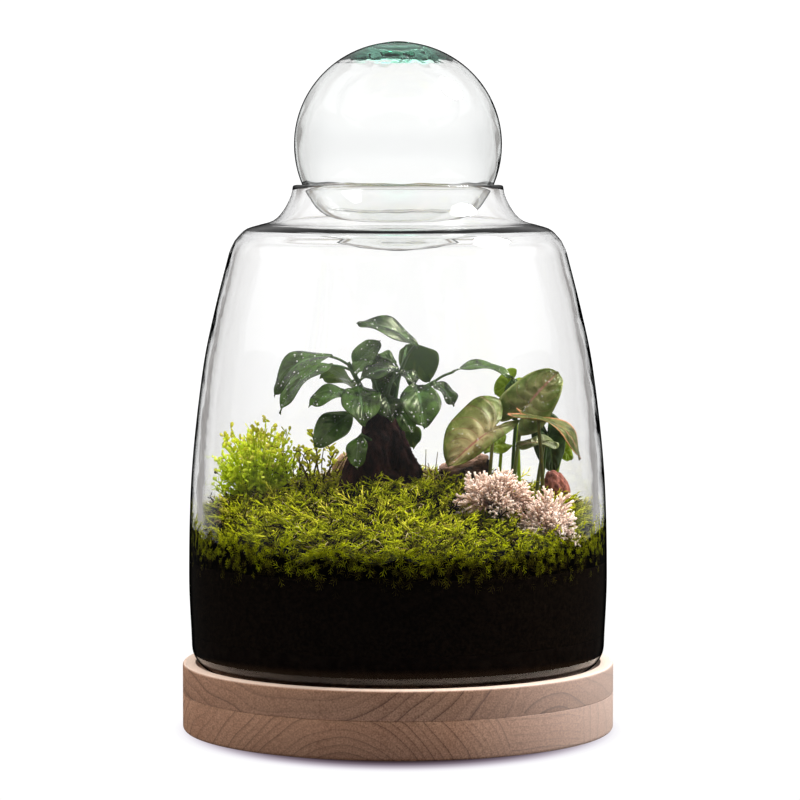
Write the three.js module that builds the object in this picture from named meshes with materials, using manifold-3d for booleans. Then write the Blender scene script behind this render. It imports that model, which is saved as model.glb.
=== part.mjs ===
// A closed plant terrarium: a blown glass jar, stopped by a hollow glass ball, that stands in the
// recess of a round board glued up from two layers of beech. On lava gravel and potting soil grow
// moss, a young fig with swollen roots, an arrowhead plant and a small-leaved creeper, with two
// clumps of lichen, a bark chip, two stones and dry twigs between them.
// Millimetres, +Z up. The origin is the middle of the board's underside, and the front faces -Y.

import * as THREE from 'three';
import { mergeVertices } from 'three/addons/utils/BufferGeometryUtils.js';
import Module from 'manifold-3d';

const wasm = await Module();
wasm.setup();

// Driving sizes

const gap = 0.3; // left between pieces that touch without being one

const board = { radius: 125, lower: 22, upper: 17, topRound: 1.5, footRound: 2.5, sides: 48 };
const recess = { radius: 117.5, depth: 5 };

const jarFloor = board.lower + board.upper - recess.depth; // the jar stands on the recess floor
const jar = {
  footRadius: 104,
  sides: 40,
  lowWall: 6.8, // glass thickness near the foot
  highWall: 4.2, // and at the shoulder
  rimWall: 5.2,
  rimLevel: 315,
};
const ball = { radius: 60, level: 338.2, height: 59, sides: 26, wall: 3, sealWall: 8.5 };
const seal = { radius: 11, innerRadius: 8, dome: 0.3 };

const gravelTop = 56;
const soilWallLevel = 98;
const soilRise = 23; // how far the soil is heaped up in the middle
const bedRadius = 112; // of the planted bed, for the shape of the moss

const leafThickness = 0.8;

// Solids from geometry, and geometry from solids

// A closed geometry as a solid that can be joined and cut.
function solid(geometry) {
  const plain = geometry.clone();
  plain.deleteAttribute('normal');
  plain.deleteAttribute('uv');
  const merged = mergeVertices(plain, 1e-4);
  const index = merged.index.array;
  const faces = [];
  for (let i = 0; i < index.length; i += 3) {
    const [a, b, c] = [index[i], index[i + 1], index[i + 2]];
    if (a !== b && b !== c && c !== a) faces.push(a, b, c);
  }
  return new wasm.Manifold(
    new wasm.Mesh({
      numProp: 3,
      vertProperties: merged.attributes.position.array,
      triVerts: new Uint32Array(faces),
    }),
  );
}

// A solid as a geometry again.
function geometryOf(body) {
  const mesh = body.getMesh();
  const geometry = new THREE.BufferGeometry();
  geometry.setAttribute('position', new THREE.BufferAttribute(mesh.vertProperties, 3));
  geometry.setIndex(new THREE.BufferAttribute(mesh.triVerts, 1));
  geometry.computeVertexNormals();
  return geometry;
}

const join = (bodies) => bodies.reduce((whole, next) => whole.add(next));
const cut = (body, tools) => tools.reduce((rest, tool) => rest.subtract(tool), body);

// The largest piece of a solid, so that crumbs left by a cut are dropped.
function largest(body) {
  return body.decompose().sort((a, b) => b.volume() - a.volume())[0];
}

// Shapes

// A body turned about the z axis from a profile of [radius, height] points.
function turned(profile, sides) {
  const points = profile.map(([radius, height]) => new THREE.Vector2(radius, height));
  return new THREE.LatheGeometry(points, sides).rotateX(Math.PI / 2);
}

// Points on an arc in the profile plane, angles in degrees from the radius axis.
function arc([radius, height], size, from, to, steps) {
  return Array.from({ length: steps + 1 }, (_, i) => {
    const angle = THREE.MathUtils.degToRad(THREE.MathUtils.lerp(from, to, i / steps));
    return [radius + size * Math.cos(angle), height + size * Math.sin(angle)];
  });
}

// Points on a smooth curve through a few [radius, height] points.
function smooth(points, steps) {
  const curve = new THREE.SplineCurve(points.map((p) => new THREE.Vector2(...p)));
  return curve.getSpacedPoints(steps).map((p) => [p.x, p.y]);
}

// A tapering limb: rings of the given radii along a smooth path, closed at both ends.
function limb(points, radii, { sides = 5, steps = 3, grow = 0 } = {}) {
  const path = new THREE.CatmullRomCurve3(points.map((p) => new THREE.Vector3(...p)));
  const frames = path.computeFrenetFrames(steps);
  const taper = new THREE.SplineCurve(radii.map((r, i) => new THREE.Vector2(i, r)));
  const positions = [];
  const faces = [];
  for (let i = 0; i <= steps; i++) {
    const centre = path.getPointAt(i / steps);
    const radius = taper.getPoint(i / steps).y + grow;
    for (let j = 0; j < sides; j++) {
      const angle = (2 * Math.PI * j) / sides;
      const spot = centre
        .clone()
        .addScaledVector(frames.normals[i], radius * Math.cos(angle))
        .addScaledVector(frames.binormals[i], radius * Math.sin(angle));
      positions.push(spot.x, spot.y, spot.z);
      const next = (j + 1) % sides;
      if (i < steps) {
        const [a, b] = [i * sides + j, i * sides + next];
        faces.push(a, b, b + sides, a, b + sides, a + sides);
      }
    }
  }
  const last = steps * sides;
  for (let j = 1; j < sides - 1; j++) {
    faces.push(0, j + 1, j);
    faces.push(last, last + j, last + j + 1);
  }
  const geometry = new THREE.BufferGeometry();
  geometry.setAttribute('position', new THREE.Float32BufferAttribute(positions, 3));
  geometry.setIndex(faces);
  return solid(geometry);
}

// The length of a leaf, and its directions: along the midrib, up from its face, and sideways.
function leafFrame({ base, tip, facing }) {
  const start = new THREE.Vector3(...base);
  const along = new THREE.Vector3(...tip).sub(start);
  const length = along.length();
  along.normalize();
  const up = new THREE.Vector3(...facing);
  up.addScaledVector(along, -up.dot(along)).normalize();
  return { start, along, up, side: new THREE.Vector3().crossVectors(up, along), length };
}

// How far the midrib of a leaf bows up from the straight line, at a share of its length.
const bowAt = (leaf, length, share) => leaf.bow * length * Math.sin(Math.PI * share);

// The point on a leaf's midrib at a share of its length.
function ribPoint(leaf, share) {
  const { start, along, up, length } = leafFrame(leaf);
  start.addScaledVector(along, share * length).addScaledVector(up, bowAt(leaf, length, share));
  return start.toArray();
}

// A leaf blade of even thickness between base and tip. The outline lists the margin of one half
// from base to tip, as shares of the half width and of the length, and each row of points runs
// from the midrib out to it. The blade bows up along its midrib by a share of its length, its
// halves fold up by a slope, and its margins wave. From its base lobes on, the half on the side
// of positive x can be slimmer than the other by a share.
function blade(leaf) {
  const { width, outline, rows, columns, fold, wave, slimmer = 0 } = leaf;
  const { start, along, up, side, length } = leafFrame(leaf);
  const margin = new THREE.SplineCurve(outline.map((p) => new THREE.Vector2(...p)));
  const across = 2 * columns + 1;
  const positions = [];
  for (const face of [0.5, -0.5]) {
    for (let i = 0; i <= rows; i++) {
      const share = i / rows;
      const edge = margin.getPoint(share);
      const slim = 1 - slimmer * THREE.MathUtils.smoothstep(share, 0, 0.35);
      for (let j = -columns; j <= columns; j++) {
        const out = Math.abs(j) / columns;
        const half = (edge.x * width * (j > 0 ? slim : 1)) / 2;
        const x = Math.sign(j) * out * half;
        const y = THREE.MathUtils.lerp(share, edge.y, out) * length;
        const ripple = wave * out * Math.sin(2 * Math.PI * 2.5 * share + j);
        const rise = bowAt(leaf, length, y / length) + fold * Math.abs(x) + ripple;
        const spot = start
          .clone()
          .addScaledVector(along, y)
          .addScaledVector(side, x)
          .addScaledVector(up, rise + face * leafThickness);
        positions.push(spot.x, spot.y, spot.z);
      }
    }
  }
  const under = (rows + 1) * across;
  const faces = [];
  const quad = (a, b, c, d) => faces.push(a, b, c, a, c, d);
  for (let i = 0; i < rows; i++) {
    for (let j = 0; j < across - 1; j++) {
      const a = i * across + j;
      quad(a, a + across, a + across + 1, a + 1);
      faces.push(a + under, a + 1 + under, a + across + 1 + under);
      faces.push(a + under, a + across + 1 + under, a + across + under);
    }
    const left = i * across;
    const right = left + across - 1;
    quad(left + under, left + across + under, left + across, left);
    quad(right, right + across, right + across + under, right + under);
  }
  const end = rows * across;
  for (let j = 0; j < across - 1; j++) {
    quad(j + under, j, j + 1, j + 1 + under);
    quad(end + j, end + j + under, end + j + 1 + under, end + j + 1);
  }
  const geometry = new THREE.BufferGeometry();
  geometry.setAttribute('position', new THREE.Float32BufferAttribute(positions, 3));
  geometry.setIndex(faces);
  return solid(geometry);
}

// A boulder: a rough ball, stretched and turned, with flats and bumps from a few sine waves.
function boulder(centre, size, turn, roughness, detail = 1) {
  const geometry = new THREE.IcosahedronGeometry(1, detail);
  const spots = geometry.attributes.position;
  const spot = new THREE.Vector3();
  for (let i = 0; i < spots.count; i++) {
    spot.fromBufferAttribute(spots, i);
    const bump = Math.sin(5 * spot.x + 2 * spot.z) * Math.sin(4 * spot.y - 3 * spot.z + 1);
    spot.multiplyScalar(1 + roughness * bump);
    spots.setXYZ(i, spot.x, spot.y, spot.z);
  }
  geometry.scale(...size).rotateZ(THREE.MathUtils.degToRad(turn)).translate(...centre);
  return solid(geometry);
}

// Repeatable draws between 0 and 1.
function drawFrom(seed) {
  let state = seed;
  return () => {
    state = (state * 1664525 + 1013904223) % 4294967296;
    return state / 4294967296;
  };
}

// Directions spread evenly over the upper part of a ball, down to the given height share.
function spread(count, lowest) {
  const golden = Math.PI * (3 - Math.sqrt(5));
  return Array.from({ length: count }, (_, i) => {
    const z = THREE.MathUtils.lerp(1, lowest, (i + 0.5) / count);
    const flat = Math.sqrt(1 - z * z);
    return new THREE.Vector3(flat * Math.cos(golden * i), flat * Math.sin(golden * i), z);
  });
}

// Board: two glued layers, the upper one with the recess that the jar stands in

const boardFoot = arc(
  [board.radius - board.footRound, board.footRound],
  board.footRound, -90, 0, 3,
);
const lowerLayer = turned(
  [[0, 0], ...boardFoot, [board.radius, board.lower], [0, board.lower]],
  board.sides,
);

const boardRim = arc(
  [board.radius - board.topRound, board.upper - board.topRound],
  board.topRound, 0, 90, 2,
);
const upperLayer = turned(
  [
    [0, 0],
    [board.radius, 0],
    ...boardRim,
    [recess.radius, board.upper],
    [recess.radius, board.upper - recess.depth],
    [0, board.upper - recess.depth],
  ],
  board.sides,
);

// Jar: the outside as seen, and the inside as that line moved in by the wall's thickness

const footRound = 15.75;
const jarOutside = [
  ...arc([jar.footRadius, jarFloor + footRound], footRound, -90, -8, 3),
  ...smooth([[119.9, 56], [121.2, 91], [119.5, 149], [113.1, 207], [106.1, 242], [97.2, 277]], 5),
  ...smooth([[94.2, 283], [88.2, 289.2], [80, 292], [72, 294.4], [66.6, 299.6], [62, 308]], 5),
  [60.7, jar.rimLevel],
];

// Wall thickness at a height on the outside.
function wallAt(height) {
  const shoulder = 277;
  if (height < shoulder) {
    const share = THREE.MathUtils.smoothstep(height, 120, shoulder);
    return THREE.MathUtils.lerp(jar.lowWall, jar.highWall, share);
  }
  const share = THREE.MathUtils.smoothstep(height, shoulder, jar.rimLevel);
  return THREE.MathUtils.lerp(jar.highWall, jar.rimWall, share);
}

const jarInside = jarOutside.map(([radius, height], i) => {
  const before = jarOutside[Math.max(i - 1, 0)];
  const after = jarOutside[Math.min(i + 1, jarOutside.length - 1)];
  const run = new THREE.Vector2(after[0] - before[0], after[1] - before[1]).normalize();
  const wall = wallAt(height);
  if (i === 0) return [radius, height + wall];
  if (i === jarOutside.length - 1) return [radius - wall, height];
  return [radius - run.y * wall, height + run.x * wall];
});

const jarBody = turned(
  [[0, jarFloor], ...jarOutside, ...jarInside.toReversed(), [0, jarInside[0][1]]],
  jar.sides,
);

// The jar's inner radius at a height.
function insideRadius(height) {
  const above = Math.max(jarInside.findIndex(([, z]) => z >= height), 1);
  const [low, high] = [jarInside[above - 1], jarInside[above]];
  const share = (height - low[1]) / (high[1] - low[1]);
  return THREE.MathUtils.lerp(low[0], high[0], share);
}

// The profile of the jar's inside between two heights, with a clearance to the glass.
function insideBetween(low, high, clearance) {
  const between = jarInside.filter(([, z]) => z > low + 0.5 && z < high - 0.5);
  return [[insideRadius(low), low], ...between, [insideRadius(high), high]].map(([r, z]) => [
    r - clearance,
    z,
  ]);
}

// What stands inside the glass: a filling of the jar that plants are trimmed to.
const glassClearance = 0.9;
const roomInside = solid(
  turned([[0, 60], ...insideBetween(60, 285, glassClearance), [0, 285]], jar.sides),
);

// Stopper: a hollow ball, thick at the top where its seal closes the blowing hole

const sealTilt = THREE.MathUtils.radToDeg(Math.acos(seal.radius / ball.radius));
const ballOutside = arc([0, 0], ball.radius, -90, sealTilt, 10).map(([r, z]) => [
  r,
  z > 0 ? (z * ball.height) / ball.radius : z,
]);
const sealTop = ballOutside.at(-1)[1];
const innerRadius = ball.radius - ball.wall;
const ballInside = [
  [seal.innerRadius, ball.height - ball.sealWall],
  [22, ball.height - ball.sealWall + 0.2],
  ...arc([0, 0], innerRadius, 56, -90, 7),
];
const stopperBall = turned([...ballOutside, ...ballInside], ball.sides);

const sealFloor = ball.height - ball.sealWall;
const stopperSeal = turned(
  [
    [0, sealFloor],
    [seal.innerRadius - gap, sealFloor],
    [seal.radius - gap, sealTop],
    [seal.radius * 0.55, ball.height],
    [0, ball.height + seal.dome],
  ],
  16,
);

// Ground: gravel, soil and the moss on it

const floorInside = jarInside[0][1];
const gravelProfile = [
  [0, floorInside + gap],
  [jarInside[0][0] - gap, floorInside + gap],
  ...insideBetween(floorInside + 1.5, gravelTop, gap),
  [0, gravelTop],
];
const gravel = solid(turned(gravelProfile, jar.sides));

// The soil's surface, heaped up in the middle, as a profile from the wall to the axis.
function soilSurface(lift, wallRadius) {
  return [1, 0.8, 0.55, 0.3, 0].map((share) => [
    share * wallRadius,
    soilWallLevel + lift + soilRise * (1 - share ** 1.6),
  ]);
}

const soilBed = solid(
  turned(
    [
      [0, gravelTop],
      ...insideBetween(gravelTop, soilWallLevel - 1, gap),
      ...soilSurface(0, insideRadius(soilWallLevel) - gap),
    ],
    jar.sides,
  ),
);

// The height of the moss: a mound that falls to the front, and a little to the sides and the back,
// with tufts from crossed sine waves.
function mossHeight(x, y) {
  const front = 34 * Math.max(-y / bedRadius, 0) ** 1.1;
  const back = 10 * Math.max(y / bedRadius, 0) ** 2;
  const sides = 17 * (x / bedRadius) ** 2;
  const [waveX, waveY] = [Math.sin(x / 8.9), Math.sin(y / 9.7)];
  const tufts = Math.sin(x / 4.3 + 1.3 * waveY) * Math.sin(y / 4.7 + 1.1 * waveX);
  return 142 - front - back - sides + 2.4 * tufts;
}

// The moss as a body with its top raised by lift, and its underside on the soil.
function mossBody(lift) {
  const wallRadius = insideRadius(soilWallLevel) - 0.7;
  const rings = 11;
  const placeholder = 200; // height of the top's points until the mound gives them theirs
  const top = Array.from({ length: rings + 1 }, (_, i) => [wallRadius * (1 - i / rings), placeholder]);
  const under = soilSurface(gap, wallRadius).toReversed();
  const geometry = turned([...under, ...top], 46);
  const spots = geometry.attributes.position;
  for (let i = 0; i < spots.count; i++) {
    if (spots.getZ(i) < placeholder) continue;
    const [x, y] = [spots.getX(i), spots.getY(i)];
    const height = mossHeight(x, y) + lift;
    const inward = Math.min(1, (insideRadius(height) - glassClearance) / Math.max(Math.hypot(x, y), 1));
    spots.setXYZ(i, x * inward, y * inward, height);
  }
  return solid(geometry);
}

const mossRaised = mossBody(gap);

// Lays a body on the moss: what would sink into it is cut away.
const restOnMoss = (body) => largest(body.subtract(mossRaised));

// Fig: a swollen root trunk and seven leafy shoots

const trunkLimbs = [
  [[[-6, 2, 98], [-9, 0, 134], [-10, 0, 160], [-9, 0, 187]], [17, 20, 12.5, 9.5], 10, 7],
  [[[-8, -2, 172], [-20, -12, 150], [-31, -20, 128]], [8, 11, 6], 8, 4],
  [[[-5, -2, 174], [3, -6, 150], [11, -8, 126]], [6, 8, 6], 7, 4],
  [[[-12, 3, 170], [-22, 10, 150], [-32, 14, 126]], [6, 8.5, 5], 7, 4],
  [[[-4, 4, 166], [3, 12, 148], [10, 19, 124]], [5, 8, 5], 7, 4],
];
const trunkSolid = (grow) =>
  join(trunkLimbs.map(([path, radii, sides, steps]) => limb(path, radii, { sides, steps, grow })));
const trunk = trunkSolid(0);
const trunkRoom = trunkSolid(gap);

const figBlade = {
  outline: [[0.05, 0], [0.5, 0.12], [0.9, 0.34], [1, 0.55], [0.74, 0.78], [0.26, 0.93], [0.04, 1]],
  rows: 6,
  columns: 1,
  bow: 0.1,
  fold: 0.12,
  wave: 0,
};

// A leafy shoot: a woody stem, and leaves that each stand on a stalk from a point of it.
function shoot(stem, leaves, stemRadius = 1.8) {
  const parts = [limb(stem, [stemRadius, stemRadius * 0.8, stemRadius * 0.7], { sides: 6, steps: 3 })];
  for (const placed of leaves) {
    const leaf = { ...figBlade, ...placed };
    const end = ribPoint(leaf, 0.06);
    const middle = leaf.from.map((from, axis) => (from + end[axis]) / 2);
    middle[2] += 0.8;
    parts.push(limb([leaf.from, middle, end], [0.9, 0.8, 0.8], { sides: 4, steps: 2 }));
    parts.push(blade(leaf));
  }
  return largest(join(parts).subtract(trunkRoom));
}

const figShoots = {
  fig_shoot_left: shoot(
    [[-11, -2, 180], [-21, -2, 196], [-29, -2, 211]],
    [
      {
        from: [-28.5, -2, 209.5], base: [-37.5, -5, 215], tip: [-71, -15, 192],
        facing: [-0.4, -0.5, 0.75], width: 22, bow: 0.22,
      },
      {
        from: [-26, -2, 206], base: [-38, 5, 210], tip: [-69, 2, 181],
        facing: [-0.5, -0.4, 0.75], width: 21, bow: 0.14,
      },
      {
        from: [-23, -2, 200], base: [-26, 7, 199], tip: [-46, 25, 200],
        facing: [0, 0.75, 0.65], width: 21,
      },
      {
        from: [-22, -2, 197], base: [-27, -9, 195], tip: [-51, -24, 187],
        facing: [-0.1, -0.5, 0.85], width: 17,
      },
      {
        from: [-22, -2, 198], base: [-23, -11, 198], tip: [-19, -37, 177],
        facing: [0, -0.6, 0.8], width: 23,
      },
      {
        from: [-17, -2, 189], base: [-27, -6, 182], tip: [-48, -18, 163],
        facing: [-0.2, -0.9, 0.4], width: 19,
      },
    ],
  ),
  fig_shoot_top: shoot(
    [[-9, 5, 180], [-13, 4, 196], [-17, 2, 207]],
    [
      {
        from: [-16.5, 2, 205.5], base: [-25, 1, 206], tip: [-10, -3, 224],
        facing: [-0.45, -0.85, 0.3], width: 16,
      },
      {
        from: [-15, 3, 203], base: [-15, -2, 213.5], tip: [-25, -12, 204],
        facing: [-0.2, -0.6, 0.75], width: 12,
      },
    ],
    1.5,
  ),
  fig_shoot_crown: shoot(
    [[-3, 7, 178], [0, 7, 200], [5, 6, 214]],
    [
      {
        from: [4.5, 6, 212.5], base: [11.5, 3, 219.5], tip: [-24, -7, 234],
        facing: [0.2, -0.55, 0.8], width: 18, bow: 0.13,
      },
      {
        from: [3, 6, 209], base: [4, 11, 220], tip: [18.5, 20, 198],
        facing: [0.3, 0.85, 0.4], width: 25,
      },
      {
        from: [0.5, 7, 204], base: [-1, 3, 210], tip: [-14, 6, 215],
        facing: [0, -0.6, 0.8], width: 10,
      },
    ],
    1.5,
  ),
  fig_shoot_right: shoot(
    [[-1, 0, 178], [10, 1, 192], [22, 1, 200]],
    [
      {
        from: [20, 1, 199], base: [30, 0, 204.5], tip: [66, -15, 203],
        facing: [0, -0.3, 0.95], width: 14, bow: 0.16,
      },
      {
        from: [19, 1, 198.5], base: [21, -4, 200], tip: [32, -12, 186],
        facing: [0.6, -0.5, 0.6], width: 15,
      },
      {
        from: [9, 1, 191], base: [10, -12, 199], tip: [15, -34, 175],
        facing: [0.1, -0.75, 0.6], width: 24,
      },
    ],
  ),
  fig_shoot_front: shoot(
    [[-6, -4, 178], [-6, -8, 192], [-3, -7, 203]],
    [
      {
        from: [-6, -8, 192], base: [-8, -11, 193], tip: [-3, -22, 178],
        facing: [0.1, -0.8, 0.6], width: 16,
      },
      {
        from: [-6, -8, 192], base: [0, -14, 184], tip: [8, -22, 171],
        facing: [0.3, -0.8, 0.5], width: 12,
      },
      {
        from: [-3.5, -7, 201], base: [0.5, -8, 208], tip: [-22, -22, 202],
        facing: [0.1, -0.5, 0.85], width: 14,
      },
      {
        from: [-3.8, -7, 200], base: [3, -4, 207], tip: [9, -12, 198],
        facing: [0.5, -0.75, 0.4], width: 12,
      },
    ],
    1.4,
  ),
  fig_shoot_low_left: shoot(
    [[-12, -6, 164], [-17, -16, 168], [-21, -21, 171]],
    [
      {
        from: [-20, -20, 170], base: [-22, -23, 170.5], tip: [-23, -31, 152],
        facing: [-0.3, -0.9, 0.2], width: 13,
      },
    ],
    1.2,
  ),
  fig_shoot_low_right: shoot(
    [[-5, 5, 168], [1, 12, 172], [4, 15, 174]],
    [
      {
        from: [3, 14, 173.5], base: [5.5, 16, 174], tip: [9, 21, 159],
        facing: [0.1, 0.9, 0.2], width: 13,
      },
    ],
    1.2,
  ),
};

// Arrowhead plant: each leaf on its own stalk, which stands in the soil

const arrowBlade = {
  outline: [
    [0.03, 0.03], [0.14, -0.18], [0.55, -0.36], [0.97, -0.14],
    [1, 0.2], [0.84, 0.6], [0.42, 0.9], [0.03, 1],
  ],
  rows: 8,
  columns: 2,
  bow: 0.06,
  fold: 0.1,
  wave: 0.5,
};

const small = { rows: 5, columns: 1 };

const stalkFoot = 101;
const arrowLeaves = [
  {
    foot: [52, -5], base: [57, -12, 175], tip: [29, -26, 153],
    facing: [-0.25, -0.9, 0.35], width: 42, slimmer: 0.5,
  },
  {
    foot: [66, -1], base: [72, 0, 182], tip: [94, 8, 205],
    facing: [-0.3, -0.85, 0.35], width: 31,
  },
  {
    foot: [72, 14], base: [68, 18, 200], tip: [57, 20, 191],
    facing: [0.1, -0.9, 0.1], width: 14, ...small,
  },
  {
    foot: [66, 7], base: [70, 8, 184], tip: [67, 14, 201],
    facing: [-0.6, -0.75, 0.2], width: 13, ...small,
  },
  {
    foot: [84, -12], base: [78, -17, 180], tip: [103, -25, 157],
    facing: [0.5, -0.25, 0.8], width: 20, bow: 0.2,
  },
  {
    foot: [79, -3], base: [86, -2, 165], tip: [68, -9, 163],
    facing: [0, -0.45, 0.9], width: 12, ...small,
  },
  {
    foot: [83, 5], base: [87, 7, 171], tip: [91, 12, 147],
    facing: [0.2, -0.95, 0.2], width: 20,
  },
  {
    foot: [90, 15], base: [97, 17, 161], tip: [103, 20, 153],
    facing: [0, -0.9, 0.3], width: 10, ...small,
  },
  {
    foot: [58, 3], base: [61, 2, 164], tip: [50, -3, 159],
    facing: [-0.1, -0.7, 0.7], width: 13, ...small,
  },
].map((placed) => ({ ...arrowBlade, ...placed }));

// A stalk from the soil to the start of the leaf's midrib.
function stalk(leaf, grow) {
  const [x, y] = leaf.foot;
  const end = ribPoint(leaf, 0.06);
  const middle = [
    THREE.MathUtils.lerp(x, end[0], 0.3),
    THREE.MathUtils.lerp(y, end[1], 0.3),
    THREE.MathUtils.lerp(stalkFoot, end[2], 0.6),
  ];
  return limb([[x, y, stalkFoot - grow], middle, end], [1.3, 1.1, 0.9], { sides: 5, steps: 5, grow });
}

const arrowLeaf = (leaf) => largest(stalk(leaf, 0).add(blade(leaf)));

// Small-leaved creeper: a bush of fine stems over a core, and loose sprigs

// A tiny leaf: a flattened eight-sided lens that points along a direction.
function leaflet(spot, direction, length) {
  const geometry = new THREE.OctahedronGeometry(1);
  geometry.scale(length / 2, length * 0.36, length * 0.14);
  const turn = new THREE.Quaternion().setFromUnitVectors(new THREE.Vector3(1, 0, 0), direction);
  geometry.applyQuaternion(turn);
  const centre = spot.clone().addScaledVector(direction, length * 0.33);
  geometry.translate(centre.x, centre.y, centre.z);
  return solid(geometry);
}

function creeperBush() {
  const draw = drawFrom(7);
  const centre = new THREE.Vector3(-83, 8, 145);
  const reach = new THREE.Vector3(27, 28, 30);
  const core = reach.clone().multiplyScalar(0.8);
  const parts = [boulder(centre.toArray(), core.toArray(), 0, 0.1)];
  for (const out of spread(24, -0.15)) {
    const start = out.clone().multiply(core).multiplyScalar(0.9).add(centre);
    const end = out.clone().multiply(reach).multiplyScalar(0.84 + 0.18 * draw()).add(centre);
    parts.push(limb([start.toArray(), end.toArray()], [0.8, 0.6], { sides: 3, steps: 1 }));
    const across = new THREE.Vector3(draw() - 0.5, draw() - 0.5, draw() - 0.5).cross(out).normalize();
    for (let i = 0; i < 3; i++) {
      const aside = across.clone().applyAxisAngle(out, (i * 2 * Math.PI) / 3);
      parts.push(leaflet(end, aside.addScaledVector(out, 0.5).normalize(), 8 + 2 * draw()));
    }
  }
  return largest(join(parts).intersect(roomInside).subtract(mossRaised));
}

const bushStem = (grow) =>
  limb([[-80, 8, 106 - grow], [-81, 8, 125], [-83, 8, 140]], [1.6, 1.6, 1.4], { grow });

const sprigPaths = [
  [[-52, 4, 108], [-50, 3, 140], [-47, 2, 156], [-50, 0, 170]],
  [[-44, 16, 108], [-43, 16, 140], [-38, 17, 152], [-41, 18, 161]],
  [[-60, 22, 108], [-58, 22, 138], [-52, 20, 150], [-54, 19, 158]],
];

const sprigStem = (path, grow) => {
  const [[x, y, z], ...rest] = path;
  return limb([[x, y, z - grow], ...rest], [0.9, 0.8, 0.6], { sides: 4, steps: 5, grow });
};

function sprig(path, seed) {
  const draw = drawFrom(seed);
  const curve = new THREE.CatmullRomCurve3(path.map((p) => new THREE.Vector3(...p)));
  const parts = [sprigStem(path, 0)];
  for (let i = 0; i < 8; i++) {
    const share = 0.62 + 0.36 * (i / 7);
    const angle = i * 2.4;
    const direction = new THREE.Vector3(Math.cos(angle), Math.sin(angle), 0.2 + 0.5 * draw());
    parts.push(leaflet(curve.getPointAt(share), direction.normalize(), 4.5 + draw()));
  }
  return join(parts);
}

// Lichen: clumps of short knobbed branches on a core

function lichenClump(centre, reach, count, seed) {
  const draw = drawFrom(seed);
  const middle = new THREE.Vector3(...centre);
  const size = new THREE.Vector3(...reach);
  const parts = [boulder(centre, size.clone().multiplyScalar(0.84).toArray(), 0, 0.1)];
  for (const out of spread(count, -0.4)) {
    const start = out.clone().multiply(size).multiplyScalar(0.7).add(middle);
    const end = out.clone().multiply(size).multiplyScalar(0.98 + 0.1 * draw()).add(middle);
    end.z += 1 + 2 * draw();
    parts.push(limb([start.toArray(), end.toArray()], [0.9, 1.5], { sides: 3, steps: 1 }));
  }
  return restOnMoss(join(parts).intersect(roomInside));
}

// Things that lie on the moss

const barkChip = (() => {
  const geometry = new THREE.BoxGeometry(29, 17, 13, 4, 2, 2);
  const spots = geometry.attributes.position;
  for (let i = 0; i < spots.count; i++) {
    const [x, y, z] = [spots.getX(i), spots.getY(i), spots.getZ(i)];
    const round = 1 - 0.25 * (Math.abs(x) / 14.5) ** 2;
    spots.setXYZ(i, x + 0.8 * Math.sin(z + y), y * round, z * round + 1.4 * Math.sin(0.5 * x + 0.4 * y));
  }
  geometry.rotateY(THREE.MathUtils.degToRad(-14)).rotateZ(THREE.MathUtils.degToRad(10));
  return solid(geometry.translate(39, 4, 149));
})();

const twigPaths = [
  [[-88, -45, 119], [-80, -49, 121], [-70, -51, 121.5]],
  [[-14, -66, 121], [2, -70, 121], [16, -68, 122]],
  [[-52, -62, 122], [-44, -70, 119], [-40, -78, 116]],
];
const twig = (path) => restOnMoss(limb(path, [1, 1.2, 0.8], { sides: 5, steps: 3 }));

// Holes that trunk, stalks and stems stand in

const stems = [
  trunkRoom,
  ...arrowLeaves.map((leaf) => stalk(leaf, gap)),
  bushStem(gap),
  ...sprigPaths.map((path) => sprigStem(path, gap)),
];
const soil = cut(soilBed, stems);
const moss = cut(mossBody(0), stems);

// The scene

function mesh(name, shape, material) {
  const geometry = shape instanceof THREE.BufferGeometry ? shape : geometryOf(shape);
  const piece = new THREE.Mesh(geometry, material);
  piece.name = name;
  return piece;
}

const matt = (color, roughness = 0.8) =>
  new THREE.MeshStandardMaterial({ color, roughness, metalness: 0 });
const clear = (color, opacity) =>
  new THREE.MeshStandardMaterial({ color, roughness: 0.04, metalness: 0, transparent: true, opacity });

const beech = matt('#b99a80', 0.65);
const jarGlass = clear('#e4eeea', 0.3);
const sealGlass = clear('#3f9d84', 0.6);
const figGreen = matt('#3c5a30', 0.35);
const arrowGreen = matt('#8c9a5a', 0.5);
const creeperGreen = matt('#8fa428', 0.6);
const lichenPink = matt('#c3ab97', 0.9);

const terrarium = new THREE.Group();

const base = new THREE.Group();
const upper = mesh('base_board_upper', upperLayer, beech);
upper.position.z = board.lower;
base.add(mesh('base_board_lower', lowerLayer, beech), upper);

const stopper = new THREE.Group();
stopper.position.z = ball.level;
stopper.add(mesh('stopper_ball', stopperBall, jarGlass), mesh('stopper_seal', stopperSeal, sealGlass));

const ground = new THREE.Group();
ground.add(
  mesh('drainage_gravel', gravel, matt('#1d1714', 0.9)),
  mesh('potting_soil', soil, matt('#1a120c', 0.95)),
  mesh('moss_carpet', moss, matt('#6f8a1e', 0.9)),
);

const plants = new THREE.Group();
plants.add(mesh('fig_trunk', trunk, matt('#33241f', 0.6)));
for (const [name, shape] of Object.entries(figShoots)) plants.add(mesh(name, shape, figGreen));
arrowLeaves.forEach((leaf, i) => plants.add(mesh(`arrow_leaf_${i + 1}`, arrowLeaf(leaf), arrowGreen)));
plants.add(mesh('creeper_bush', creeperBush().add(bushStem(0)), creeperGreen));
sprigPaths.forEach((path, i) =>
  plants.add(mesh(`creeper_sprig_${i + 1}`, sprig(path, 20 + i), creeperGreen)),
);

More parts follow.
